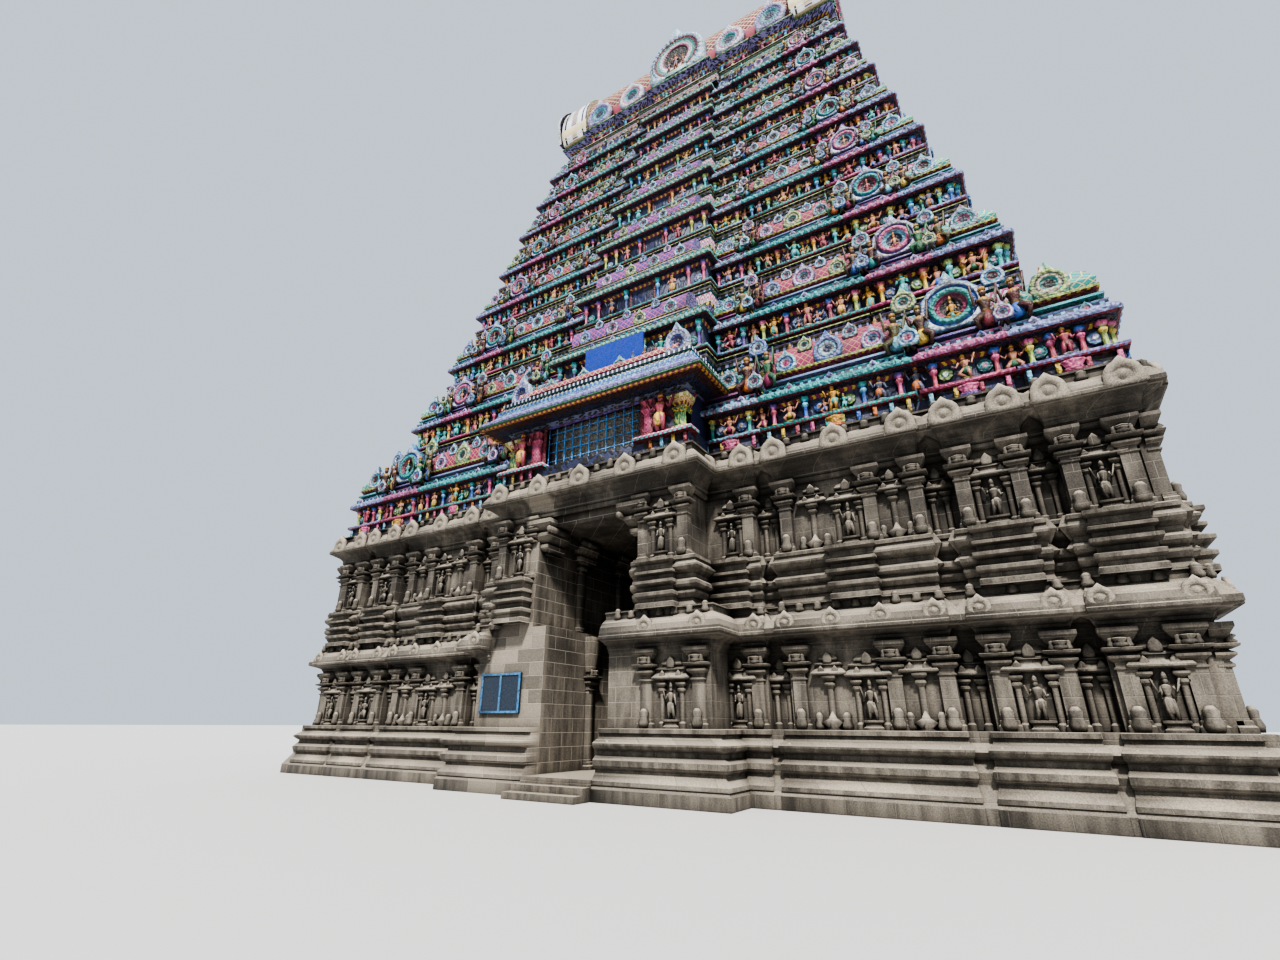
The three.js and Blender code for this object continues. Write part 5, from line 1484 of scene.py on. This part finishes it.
class GOPURAM_OT_vault(bpy.types.Operator):
    """The neck, the eave, the tiled vault with its gables, and the ridge with its kalasams."""

    bl_idname = "gopuram.vault"
    bl_label = "Neck, vault and ridge"

    def execute(self, context):
        take_settings(context, "vault", "ridge_kalasams")
        necks = Bag()
        neck(necks)
        necks.piece("neck_shrines", STACK, "painted_walls")
        lip = Bag()
        eave(lip)
        lip.piece("vault_lip", STACK, "painted_parapets")
        skin = Bag()
        vault_skin(skin, 0.02, [(-VAULT_BODY, VAULT_BODY, "crimson", "cream", LATTICE, 0.36)])
        for s in (-1, 1):
            cuts = np.linspace(*sorted((s * VAULT_BODY, s * VAULT_END)), len(END_STRIPS) + 1)
            strips = zip(cuts[:-1], cuts[1:], END_STRIPS)
            vault_skin(skin, 0.24, [(a, b, *strip, 0.3) for a, b, strip in strips])
            gable_end(skin, s)
        # The dark green edge along the foot of the vault.
        for side in LONG_SIDES:
            slab(skin, -5.95, 5.95, 2.2, 2.47, VAULT_FOOT, 33.42, SIDES[side], "green")
        skin.piece("vault_tiling", STACK, "vault_tiles")
        gables = Bag()
        shape = great_gable()
        for turn in LONG_TURNS:
            row = np.array([(0, 2.93, 33.25, 1.42, 1.1, 1.42, turn, 0)])
            gables.stamp(shape, row, tones("sky", "crimson", "teal", "white", "pink", "black", "white"))
            rows = np.array([(0, 2.98, 33.62, 0.95, 0.7, 0.98, turn, 0),
                             (0.42, 2.96, 33.6, 0.7, 0.6, 0.72, turn, 0),
                             (-0.42, 2.96, 33.6, 0.7, 0.6, 0.72, turn, 0)])
            gables.stamp(POSES[0], rows, dressed(np.array([4, 8, 13])))
            slab(gables, -0.62, 0.62, 2.8, 3.02, 33.252, 33.5, turn, "teal", "white", ARCHES, 0.16)
            slab(gables, -0.5, 0.5, 2.8, 2.99, 33.5, 33.64, turn, "crimson", "yellow", DENTILS, 0.1)
            angle = np.linspace(-0.55, math.pi + 0.55, 23)
            beads = np.array([(1.36 * math.cos(a), 2.93, 34.52 + 1.4 * math.sin(a) - 0.09, 0.2, 0.2, 0.2,
                               turn, 0) for a in angle])
            gables.stamp(POT, beads, tones("white", "blue"))
            rows = np.array([(0, 2.75, 36.0, 0.3, 0.3, 0.45, turn, 0)])
            gables.stamp(POT, rows, tones("navy", "teal"))
        gables.piece("great_gables", STACK, "painted_gables")
        crest = Bag()
        ridge(crest)
        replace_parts(crest.piece("ridge_row", ("painted", "gilding"), "gilded_metal"), "ridge_kalasams")
        return {"FINISHED"}


# Granite carving

BASE_WIDTH, BASE_DEPTH, BASE_OUT = 12.6, 7.82, 0.25
# Material indices: the granite, a copy darkened as painted shadow, and a copy lightened as painted light.
STONE, SHADOW, LIT_STONE = 0, 1, 2
# Colours for a stamp of stone, whose finishes don't read them.
BARE = np.zeros((8, 3))
# How far the bay of the passage stands out, and the dress of a pilaster from its wall.
PASSAGE_OUT, DRESS = 1.33, 0.11
# Offset of the upper wall from the faces of the bays.
SUNK = -0.06
# How far the passage reaches to the left and right of the middle, in its lower and upper part.
LOWER_REACH, UPPER_REACH, NO_REACH = (1.3, 0.85), (1.78, 1.65), (-9, -9)


def stone(bag, path, rows, turn):
    """A granite moulding: pairs of offset and height."""
    course(bag, path, [(offset, z, "cream") for offset, z in rows], turn, 1.0)


def narrow(x0, x1, back, face, lean=0.3):
    """The path round a stone bay whose mouldings reach less to the sides than to the front."""
    return [(x0, back, -lean, 0), (x0, face, -lean, 1), (x1, face, lean, 1), (x1, back, lean, 0)]


def base_bays(side, middle_half, middle_out):
    """Start, end and face of each bay of one side of the granite base."""
    w, d = BASE_WIDTH, BASE_DEPTH
    if side in LONG_SIDES:
        made = [(-middle_half, middle_half, d + middle_out)]
        for a, b in ((middle_half / w, NEAR_END), SALA_BAY, PANJARA_BAY, (CORNER_START, 1 + BASE_OUT / w)):
            for s in (-1, 1):
                made.append((*sorted((s * a * w, s * b * w)), d + BASE_OUT))
        return made
    start = d - (1 - CORNER_START) * w
    return [(-d * 0.3, d * 0.3, w + 0.12)] + [(*sorted((s * start, s * (d + BASE_OUT))), w + BASE_OUT)
                                              for s in (-1, 1)]


def base_course(bag, middle_half, middle_out, rows, gaps, mended=None):
    """A moulding round the whole granite base, bay by bay and along the wall between, with the passage
    left open; gaps give the passage's reach to the left and right. In front it stops on the left at the
    mended jamb, where one is given."""
    w, d = BASE_WIDTH, BASE_DEPTH
    left, right = gaps
    for side, turn in SIDES.items():
        across, length = (d, w) if side in LONG_SIDES else (w, d)
        lo, hi = (mended or left, right) if side == "front" else (right, left)
        for x0, x1, face in base_bays(side, middle_half, middle_out):
            if side in LONG_SIDES and x0 < 0 < x1:
                a, b = -lo + CLEAR, hi - CLEAR
                stone(bag, [(x0, face - 1, -1, 0), (x0, face, -1, 1), (a, face, 0, 1), (a, face - 0.1, 0, 0)],
                      rows, turn)
                stone(bag, [(b, face - 0.1, 0, 0), (b, face, 0, 1), (x1, face, 1, 1), (x1, face - 1, 1, 0)],
                      rows, turn)
            else:
                stone(bag, narrow(x0, x1, face - 0.4, face), rows, turn)
        if side in LONG_SIDES:
            for a, b in ((-length, -middle_half - 0.2), (middle_half + 0.2, length)):
                stone(bag, [(a, across, 0, 1), (b, across, 0, 1)], rows, turn)
        else:
            stone(bag, [(-length, across, 0, 1), (length, across, 0, 1)], rows, turn)


def pilaster_dress(bag, x, face, z0, z1, turn, half=0.15, lion=True):
    """Foot, necking, cushion, abacus and bracket of a stone pilaster."""
    h = z1 - z0
    path = bay(x - half, x + half, face - 0.2, face)
    stone(bag, path, [(0.05, z0), (0.05, z0 + 0.1), (0.02, z0 + 0.13), (0.02, z0 + 0.2),
                      (-0.02, z0 + 0.22)], turn)
    a = z0 + 0.58 * h
    stone(bag, path, [(-0.02, a), (0.03, a + 0.02), (0.03, a + 0.05), (-0.02, a + 0.07), (-0.03, a + 0.12),
                      (0.04, a + 0.17), (0.09, a + 0.21), (0.09, a + 0.25), (0.02, a + 0.29), (0.0, a + 0.31),
                      (0.15, a + 0.35), (0.16, a + 0.39), (0.14, a + 0.4), (-0.02, a + 0.41)], turn)
    b = a + 0.41
    stone(bag, path, [(-0.04, b), (-0.04, b + 0.03), (0.06, b + 0.12), (0.16, z1 - 0.08), (0.16, z1),
                      (0, z1)], turn)
    rows = [(x - 0.13, face + 0.06, b - 0.02, 0.13, 0.13, 0.2, turn, 0.4),
            (x + 0.13, face + 0.06, b - 0.02, 0.13, 0.13, 0.2, turn, -0.4)]
    bag.stamp(LOTUS, [(x, face + 0.06, b, 0.14, 0.14, 0.16, turn, 0)], BARE)
    bag.stamp(BEAST, rows, BARE)
    if lion:
        bag.stamp(BEAST, [(x, face + 0.06, z0 + 0.02, 0.26, 0.24, 0.42, turn, 0)], BARE)


def canopy_roof(bag, x, face, z, half, turn, tall=0.5):
    """The sloping stone roof over a niche, with a smaller roof and a round gable on top."""
    stone(bag, bay(x - half, x + half, face - 0.1, face + 0.06), [
        (0.0, z), (0.09, z + 0.01), (0.13, z + 0.03), (0.13, z + 0.06), (0.05, z + 0.15), (0.01, z + 0.17),
        (0.01, z + 0.22), (0.05, z + 0.24), (0.05, z + 0.27), (-0.03, z + 0.3)], turn)
    inner = 0.62 * half
    stone(bag, bay(x - inner, x + inner, face - 0.1, face + 0.03), [
        (0.0, z + 0.29), (0.0, z + 0.33), (0.05, z + 0.35), (0.05, z + 0.38), (-0.02, z + tall * 0.9),
        (-0.08, z + tall)], turn)
    r = 0.2 * tall
    bag.stamp(MEDALLION, [(x, face + 0.12, z + 0.28, r, r, r, turn, 0)], BARE)
    bag.stamp(MEDALLION, [(x + dx, face + 0.15, z + 0.05, 0.07, 0.07, 0.07, turn, 0)
                          for dx in (-half * 0.6, half * 0.6)], BARE)


def niche(bag, x, face, z0, z1, half, turn, statue, pose=0):
    """A stone niche: two slender pilasters under a canopy, a back darkened as painted shadow and, where
    statue is true, an image on a moulded seat."""
    zc = z0 + 0.63 * (z1 - z0)
    slab(bag, x - half, x + half, face - 0.1, face + 0.012, z0 + 0.02, zc, turn, "cream", kind=PLAIN)
    # The back takes the darkened copy of the granite: painted shadow in the niche.
    for part in bag.parts[-3:]:
        part[5][:] = SHADOW
    for s in (-1, 1):
        px = x + s * half
        path = bay(px - 0.05, px + 0.05, face - 0.1, face + 0.07)
        stone(bag, path, [(0.03, z0), (0.03, z0 + 0.12), (0.0, z0 + 0.16), (0.0, zc - 0.3),
                          (0.04, zc - 0.24), (0.04, zc - 0.2), (0.0, zc - 0.17), (0.07, zc - 0.1),
                          (0.07, zc - 0.06), (0.0, zc - 0.04), (0.05, zc), (0.0, zc)], turn)
    canopy_roof(bag, x, face, zc, half + 0.1, turn, 0.32 * (z1 - z0))
    if statue:
        stone(bag, bay(x - 0.6 * half, x + 0.6 * half, face - 0.1, face + 0.14), [
            (0.04, z0), (0.04, z0 + 0.05), (0.0, z0 + 0.08), (0.0, z0 + 0.12), (0.04, z0 + 0.16),
            (0.04, z0 + 0.2), (-0.1, z0 + 0.21)], turn)
        h = zc - z0 - 0.24
        wide = min(h, 2.6 * half)
        bag.stamp(POSES[pose % 6], [(x, face + 0.1, z0 + 0.2, wide, h * 0.9, h * 0.88, turn, 0)], BARE)


def pot_pillar(bag, x, face, z0, z1, turn):
    """A brimming pot with a slender pillar growing out of it, under a small canopy."""
    zc = z0 + 0.66 * (z1 - z0)
    k = 0.55 * (zc - z0)
    bag.stamp(POT, [(x, face + 0.08, z0, 0.42, 0.34, 0.42 * k + 0.12, turn, 0)], BARE)
    stone(bag, bay(x - 0.055, x + 0.055, face - 0.1, face + 0.09), [
        (0.0, z0 + 0.2), (0.0, zc - 0.28), (0.05, zc - 0.2), (0.05, zc - 0.16), (0.0, zc - 0.12),
        (0.09, zc - 0.05), (0.09, zc), (0.0, zc)], turn)
    canopy_roof(bag, x, face, zc, 0.26, turn, 0.3 * (z1 - z0))
    bag.stamp(BEAST, [(x + s * 0.3, face + 0.08, z0, 0.24, 0.22, 0.36, turn, s) for s in (-1, 1)], BARE)


def pedestal(bag, x, face, half, rows, turn):
    """A moulded pedestal under a niche that breaks forward through the plinth's mouldings."""
    stone(bag, narrow(x - half, x + half, face - 0.5, face, 0.45), rows, turn)


PILASTERS = (0.352, 0.432, 0.595, 0.676, 0.752, 0.838, 0.911)
UPPER_PEDESTAL = (
    (0.38, 4.3), (0.38, 4.42), (0.3, 4.46), (0.3, 4.54), (0.42, 4.6), (0.42, 4.68), (0.24, 4.74),
    (0.24, 4.84), (0.46, 4.9), (0.46, 4.97), (0.26, 5.02), (0.26, 5.12), (0.4, 5.16), (0.4, 5.22),
    (0.28, 5.26), (0.28, 5.4), (0.44, 5.46), (0.44, 5.54), (0.2, 5.6), (0.0, 5.61))
# Niches with images on the front and back: place and half width. On the ends: place, distance out and
# half width. Then the pilasters of the ends: place and distance out.
NICHES = ((3.95, 0.24), (6.97, 0.27), (10.02, 0.3), (11.97, 0.26))
END_NICHES = ((7.32, BASE_OUT, 0.24), (4.75, 0.0, 0.3), (1.42, 0.12, 0.24))
END_PILASTERS = ((6.75, BASE_OUT), (7.9, BASE_OUT), (5.6, 0.0), (3.9, 0.0), (2.1, 0.12), (0.75, 0.12))


def long_wall(bag, side, turn, z0, z1, upper):
    """The pilasters, niches, images and pot pillars of the front or back wall of the base."""
    w, d = BASE_WIDTH, BASE_DEPTH
    inset = SUNK if upper else 0.0
    face, middle = d + BASE_OUT, d + PASSAGE_OUT
    pose = 0
    for s in (-1, 1):
        for x in (*(share * w for share in PILASTERS), w - 0.15):
            pilaster_dress(bag, s * x, face + DRESS, z0, z1, turn)
        for x, half in NICHES:
            niche(bag, s * x, face + inset, z0, z1 - 0.1, half, turn, True, pose)
            pose += 1
            if upper:
                pedestal(bag, s * x, face + 0.06, half + 0.1, UPPER_PEDESTAL, turn)
        for x in (6.12, 8.0):
            pot_pillar(bag, s * x, face + inset, z0, z1 - 0.1, turn)
        for x in (4.93, 8.94, 10.99):
            niche(bag, s * x, d + inset, z0, z1 - 0.15, 0.15, turn, False)
        if upper:
            pilaster_dress(bag, s * 0.245 * w, middle + DRESS, z0, z1, turn)
            niche(bag, s * 2.42, middle + inset, z0, z1 - 0.1, 0.26, turn, True, pose + 2)
            pedestal(bag, s * 2.42, middle + 0.06, 0.36, UPPER_PEDESTAL, turn)
            pilaster_dress(bag, s * (1.98 if s < 0 else 1.84), middle + 0.02, z0, z1, turn, 0.11, False)
        elif s > 0 or side == "back":
            for x in (2.0, 3.4):
                stone(bag, bay(s * x - 0.15, s * x + 0.15, d + 1.0, middle + 0.09), [(0, z0), (0, z1)], turn)
                pilaster_dress(bag, s * x, middle + DRESS, z0, z1, turn)
            niche(bag, s * 2.7, middle, z0, z1 - 0.1, 0.26, turn, True, pose + 3)


def end_wall(bag, turn, z0, z1, upper):
    """The pilasters, niches and images of a wall at an end of the base, and the wall of its middle bay,
    which stands a little out."""
    w, d = BASE_WIDTH, BASE_DEPTH
    inset = SUNK if upper else 0.0
    pose = 0
    for s in (-1, 1):
        for y, out in END_PILASTERS:
            face = w + out + DRESS
            stone(bag, bay(s * y - 0.15, s * y + 0.15, face - 0.3, face - 0.02), [(0, z0), (0, z1)], turn)
            pilaster_dress(bag, s * y, face, z0, z1, turn)
        for y, out, half in END_NICHES:
            niche(bag, s * y, w + out + inset + 0.01, z0, z1 - 0.1, half, turn, True, pose)
            if upper:
                pedestal(bag, s * y, w + out + 0.06, half + 0.1, UPPER_PEDESTAL, turn)
            pose += 1
        for y, half in ((3.0, 0.18), (6.1, 0.16)):
            niche(bag, s * y, w + inset + 0.01, z0, z1 - 0.15, half, turn, False)
    niche(bag, 0.0, w + 0.12 + inset + 0.01, z0, z1 - 0.1, 0.34, turn, True, 1)
    stone(bag, [(-0.3 * d, w + 0.12 + inset, 0, 1), (0.3 * d, w + 0.12 + inset, 0, 1)], [(0, z0), (0, z1)],
          turn)


def open_places(side, middle, reach, mended, inset, count_of):
    """Numbers, places and faces along each bay of a side, but for the places that the passage and the
    mended jamb take; count_of gives how many a bay of some width holds."""
    left, right = (max(reach[0], mended), reach[1]) if side == "front" else reach
    for x0, x1, face in base_bays(side, *middle):
        for j, x in enumerate(np.linspace(x0 + inset, x1 - inset, count_of(x1 - x0))):
            if side not in LONG_SIDES or not -left < x < right:
                yield j, x, face


def gables_along(bag, side, turn, middle, out, z, radius, pitch, reach, mended=0.0, shape=None):
    """Round gables set along a cornice slope, at the ends and between of each bay."""
    places = open_places(side, middle, reach, mended, radius * 0.6,
                         lambda width: max(int(round(width / pitch)), 1) + 1)
    # They take the copy of the granite lightened as painted light.
    bag.stamp(shape or STONE_GABLE, [(x, face + out, z, radius, radius * 0.8, radius, turn, 0)
                                     for _, x, face in places], BARE, LIT_STONE)


def heads_along(bag, side, turn, middle, out, z, size, reach, mended=0.0):
    """A frieze of small crouching beasts, each a rounded block with a raised head."""
    places = open_places(side, middle, reach, mended, 0.0, lambda width: max(int(width / (1.9 * size)), 2))
    bag.stamp(BEAST, [(x, face + out, z, size, size, size * (1.0 + 0.35 * (j % 3 == 0)), turn, 0.3 * (j % 2))
                      for j, x, face in places], BARE)


def passage_wall(bag, turn, out, z0, z1):
    """Pilasters along one wall of the passage, two towards each end."""
    for along in (-7.0, -4.8, 4.8, 7.0):
        stone(bag, bay(along - 0.16, along + 0.16, out - 0.1, out + 0.1), [(0, z0), (0, z1)], turn)
        pilaster_dress(bag, along, out + DRESS, z0, z1, turn, 0.15, False)


def board_frame(bag):
    """The blue wooden frame of the notice board, with a bar down its middle."""
    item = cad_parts["notice_board"]
    corners = np.array([item.matrix_world @ Vector(corner) for corner in item.bound_box])
    (x0, y0, z0), (x1, _, z1) = corners.min(0), corners.max(0)
    wide, middle = 0.06, (x0 + x1) / 2
    low, high = z0 + wide, z1 - wide
    for a, b, foot, top in ((x0, x1, z0, low), (x0, x1, high, z1), (x0, x0 + wide, low, high),
                            (x1 - wide, x1, low, high), (middle - wide / 2, middle + wide / 2, low, high)):
        slab(bag, a, b, -y0 - 0.02, -y0 + 0.03, foot, top, 0.0, "frame")


def corbels(bag, turn, left, right):
    """Stepped brackets with rounded undersides at the top corners of the passage, at its mouth and twice
    further in, and the rolls between them and the beam."""
    steps = [(-0.25, 6.28), (-0.04, 6.4), (0.06, 6.5), (0.06, 6.6), (-0.04, 6.63), (0.12, 6.73), (0.19, 6.84),
             (0.19, 6.93), (0.07, 6.96), (0.26, 7.06), (0.34, 7.18), (0.34, 7.3), (0.2, 7.34)]
    roll = tube([(0, 0, 0), (0, 1, 0)], (1, 1), 10)
    rows = []
    for x, way in ((left, 1), (right, -1)):
        for front in (9.0, 7.35, 5.15):
            stone(bag, bay(min(x, x + way * 0.22), max(x, x + way * 0.22), front - 0.8, front), steps, turn)
            rows.append((x + way * 0.5, front + 0.3, 6.98, 0.09, 0.9, 0.09, turn, 0))
    bag.stamp(roll, rows, BARE)


# Mouldings of the base from the ground up, as pairs of offset and height.
PLINTH_ROWS = (
    (0.64, 0.0), (0.64, 0.27), (0.58, 0.29), (0.58, 0.34), (0.62, 0.36), (0.6, 0.44), (0.5, 0.56),
    (0.46, 0.62), (0.46, 0.66), (0.52, 0.7), (0.58, 0.76), (0.58, 0.88), (0.5, 0.95), (0.44, 0.97),
    (0.44, 1.08), (0.5, 1.1), (0.58, 1.14), (0.62, 1.2), (0.62, 1.24), (0.5, 1.3), (0.37, 1.34),
    (0.34, 1.38), (0.34, 1.44), (0.4, 1.46), (0.4, 1.55), (0.3, 1.563), (-0.1, 1.565))
LOWER_CORNICE_ROWS = (
    (0.05, 3.36), (0.05, 3.42), (0.1, 3.44), (0.1, 3.5), (0.17, 3.52), (0.3, 3.58), (0.47, 3.62),
    (0.5, 3.64), (0.5, 3.7), (0.48, 3.72), (0.475, 3.78), (0.43, 3.92), (0.34, 4.04), (0.22, 4.13),
    (0.17, 4.15), (0.17, 4.28), (0.22, 4.3), (0.22, 4.34), (0.1, 4.36))
UPPER_FOOT_ROWS = ((0.14, 4.2), (0.14, 4.34), (0.06, 4.46), (0.06, 4.52), (0.12, 4.54), (0.19, 4.64),
                   (0.19, 4.7), (0.14, 4.74), (0.14, 4.762), (0.0, 4.764))
UPPER_PLINTH_ROWS = (
    (0.0, 4.758), (0.14, 4.76), (0.24, 4.79), (0.29, 4.84), (0.29, 4.92), (0.24, 4.97), (0.15, 5.0),
    (0.15, 5.12), (0.22, 5.16), (0.3, 5.2), (0.35, 5.27), (0.35, 5.32), (0.28, 5.36), (0.24, 5.42),
    (0.24, 5.45), (0.28, 5.47), (0.28, 5.55), (0.16, 5.603), (-0.1, 5.605))
MAIN_CORNICE_ROWS = (
    (0.0, 7.36), (0.06, 7.4), (0.06, 7.48), (0.02, 7.5), (0.1, 7.58), (0.1, 7.66), (0.14, 7.72),
    (0.3, 7.84), (0.49, 7.92), (0.52, 7.95), (0.52, 8.02), (0.5, 8.04), (0.485, 8.1), (0.42, 8.22),
    (0.33, 8.33), (0.22, 8.35), (0.22, 8.56), (0.27, 8.58), (0.27, 8.63), (0.1, 8.65))
# Half width of the middle bay and how far it stands out, of the lower and the upper part of the base.
LOWER_BAY, UPPER_BAY = (3.7, PASSAGE_OUT), (3.25, PASSAGE_OUT)
# Each moulding with its middle bay, the passage's reach, and where it breaks off at the mended jamb.
BASE_COURSES = (
    (PLINTH_ROWS, LOWER_BAY, LOWER_REACH, None), (LOWER_CORNICE_ROWS, LOWER_BAY, LOWER_REACH, 3.3),
    (UPPER_FOOT_ROWS, UPPER_BAY, UPPER_REACH, 2.96), (UPPER_PLINTH_ROWS, UPPER_BAY, UPPER_REACH, 2.64),
    (MAIN_CORNICE_ROWS, UPPER_BAY, (0.0, 0.0), None))
# Feet and tops of the lower and the upper wall.
LOWER_WALL, UPPER_WALL = (1.56, 3.36), (5.6, 7.45)


class GOPURAM_OT_granite(bpy.types.Operator):
    """Mouldings, pilasters, niches, images, gables and friezes of the granite base."""

    bl_idname = "gopuram.granite"
    bl_label = "Granite carving"

    def execute(self, context):
        take_settings(context, "notice_board")
        plinth, friezes, upper, lower = Bag(), Bag(), Bag(), Bag()
        for rows, middle, reach, mended in BASE_COURSES:
            base_course(plinth, *middle, rows, reach, mended)
        size = SIZE["stone_gable"]
        for side, turn in SIDES.items():
            gables_along(friezes, side, turn, LOWER_BAY, 0.44, 3.7, size, 1.35, LOWER_REACH, 3.5)
            gables_along(friezes, side, turn, UPPER_BAY, 0.5, 7.95, 1.5 * size, 1.6, NO_REACH)
            gables_along(friezes, side, turn, LOWER_BAY, 0.55, 1.15, 0.07, 0.8, LOWER_REACH, shape=STONE_STUD)
            heads_along(friezes, side, turn, LOWER_BAY, 0.2, 4.13, 0.2, LOWER_REACH, 3.4)
            heads_along(friezes, side, turn, UPPER_BAY, 0.27, 8.36, 0.22, NO_REACH)
            for bag, heights, high in ((upper, UPPER_WALL, True), (lower, LOWER_WALL, False)):
                if side in LONG_SIDES:
                    long_wall(bag, side, turn, *heights, high)
                else:
                    end_wall(bag, turn, *heights, high)
        for turn, low_out, high_out in ((SIDES["right"], -LOWER_REACH[0], -UPPER_REACH[0]),
                                        (SIDES["left"], -LOWER_REACH[1], -UPPER_REACH[1])):
            passage_wall(lower, turn, low_out, 0.45, 4.1)
            passage_wall(upper, turn, high_out, 4.3, 7.3)
        corbels(upper, SIDES["front"], -UPPER_REACH[0], UPPER_REACH[1])
        corbels(upper, SIDES["back"], -UPPER_REACH[1], UPPER_REACH[0])
        for name, bag in (("granite_mouldings", plinth), ("granite_friezes", friezes),
                          ("upper_wall_carving", upper), ("lower_wall_carving", lower)):
            bag.piece(name, ("granite", "granite_shadow", "granite_painted_light"), "granite")
        board = Bag()
        board_frame(board)
        board.piece("board_frame", ("smooth_paint",), "painted_walls")
        return {"FINISHED"}


# The photograph's camera: its place on the ground, its turns in radians, and its lens in pixels of a
# frame 1280 wide.
EYE_X, EYE_Y = 10.036, -22.635
YAW, PITCH, ROLL = 0.551, 0.378, 0.006
LENS_PIXELS, FRAME_PIXELS, SENSOR = 615.84, 1280, 36.0
FLOOR_HALF, FLOOR_DROP = 400.0, 0.005


class GOPURAM_OT_stage(bpy.types.Operator):
    """Pale floor, soft light and the camera at eye height."""

    bl_idname = "gopuram.stage"
    bl_label = "Stage"

    def execute(self, context):
        take_settings(context)
        settings = context.scene.gopuram_stage
        mesh = bpy.data.meshes.new("floor")
        ways = ((-1, -1), (1, -1), (1, 1), (-1, 1))
        corners = [(x * FLOOR_HALF, y * FLOOR_HALF, -FLOOR_DROP) for x, y in ways]
        mesh.from_pydata(corners, [], [(0, 1, 2, 3)])
        floor = bpy.data.objects.new("floor", mesh)
        shade = Shading("floor_pale")
        shade.surface.inputs["Base Color"].default_value = (0.49, 0.485, 0.475, 1)
        shade.surface.inputs["Roughness"].default_value = 0.9
        mesh.materials.append(shade.material)
        context.scene.collection.objects.link(floor)
        world = bpy.data.worlds.new("soft sky")
        world.use_nodes = True
        world.node_tree.nodes["Background"].inputs[0].default_value = (0.78, 0.88, 1.0, 1)
        world.node_tree.nodes["Background"].inputs[1].default_value = settings.sky
        context.scene.world = world
        light = bpy.data.lights.new("key", "SUN")
        light.energy = settings.sun
        light.angle = math.radians(6)
        light.color = (1.0, 0.97, 0.93)
        lamp = bpy.data.objects.new("key", light)
        lamp.rotation_euler = (math.radians(38), math.radians(8), math.radians(18))
        context.scene.collection.objects.link(lamp)
        camera = bpy.data.cameras.new("camera")
        camera.sensor_width = SENSOR
        camera.lens = LENS_PIXELS * SENSOR / FRAME_PIXELS
        camera.clip_end = 1000
        eye = bpy.data.objects.new("camera", camera)
        ahead = np.array([-math.sin(YAW) * math.cos(PITCH), math.cos(YAW) * math.cos(PITCH), math.sin(PITCH)])
        right = np.cross(ahead, [0, 0, 1])
        right /= np.linalg.norm(right)
        up = np.cross(right, ahead)
        across = math.cos(ROLL) * right + math.sin(ROLL) * up
        over = -math.sin(ROLL) * right + math.cos(ROLL) * up
        facing = Matrix([list(row) for row in np.stack([across, over, -ahead], 1)])
        eye.matrix_world = Matrix.Translation((EYE_X, EYE_Y, settings.eye)) @ facing.to_4x4()
        context.scene.collection.objects.link(eye)
        context.scene.camera = eye
        context.scene.view_settings.view_transform = "AgX"
        context.scene.view_settings.look = "AgX - High Contrast"
        return {"FINISHED"}


# The finish of each node of the masonry by a part of its name; the others are granite.
NODE_FINISHES = {"_walls": "wall_paint", "_parapet": "base_paint", "vault_eave": "base_paint",
                 "canopy": "canopy_paint", "gable": "gable_paint", "great_kudu": "gable_paint",
                 "vault": "vault_paint", "ridge": "gilding", "name_panel": "sign_blue",
                 "notice_board": "board_blue"}


class GOPURAM_OT_frame(bpy.types.Operator):
    """Finishes of the masonry itself: granite, painted walls, vault and metal."""

    bl_idname = "gopuram.frame"
    bl_label = "Masonry finishes"

    def execute(self, context):
        take_settings(context, "vault", "vault_eave")
        for name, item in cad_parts.items():
            key = next((key for part, key in NODE_FINISHES.items() if part in name), "granite")
            item.data.materials.clear()
            item.data.materials.append(finish(key))
        return {"FINISHED"}


OPERATORS = (GOPURAM_OT_frame, GOPURAM_OT_granite, GOPURAM_OT_storeys, GOPURAM_OT_great_window,
             GOPURAM_OT_vault, GOPURAM_OT_stage)


class GOPURAM_PT_panel(bpy.types.Panel):
    """Lists the parts of the tower's dress."""

    bl_label = "Gopuram"
    bl_idname = "GOPURAM_PT_panel"
    bl_space_type = "VIEW_3D"
    bl_region_type = "UI"
    bl_category = "Gopuram"

    def draw(self, context):
        for name in GROUPS:
            group = getattr(context.scene, name)
            for key in group.__annotations__:
                self.layout.prop(group, key)
        for operator in OPERATORS:
            self.layout.operator(operator.bl_idname)


GROUPS = {"gopuram_paint": GopuramPaint, "gopuram_sizes": GopuramSizes, "gopuram_stage": GopuramStage}
CLASSES = (*GROUPS.values(), *OPERATORS, GOPURAM_PT_panel)


def register():
    for item in CLASSES:
        bpy.utils.register_class(item)
    for name, group in GROUPS.items():
        setattr(bpy.types.Scene, name, bpy.props.PointerProperty(type=group))


def unregister():
    for name in GROUPS:
        delattr(bpy.types.Scene, name)
    for item in reversed(CLASSES):
        bpy.utils.unregister_class(item)


def main():
    register()
    for operator in OPERATORS:
        getattr(bpy.ops.gopuram, operator.bl_idname.split(".")[1])()


if __name__ == "__main__":
    main()
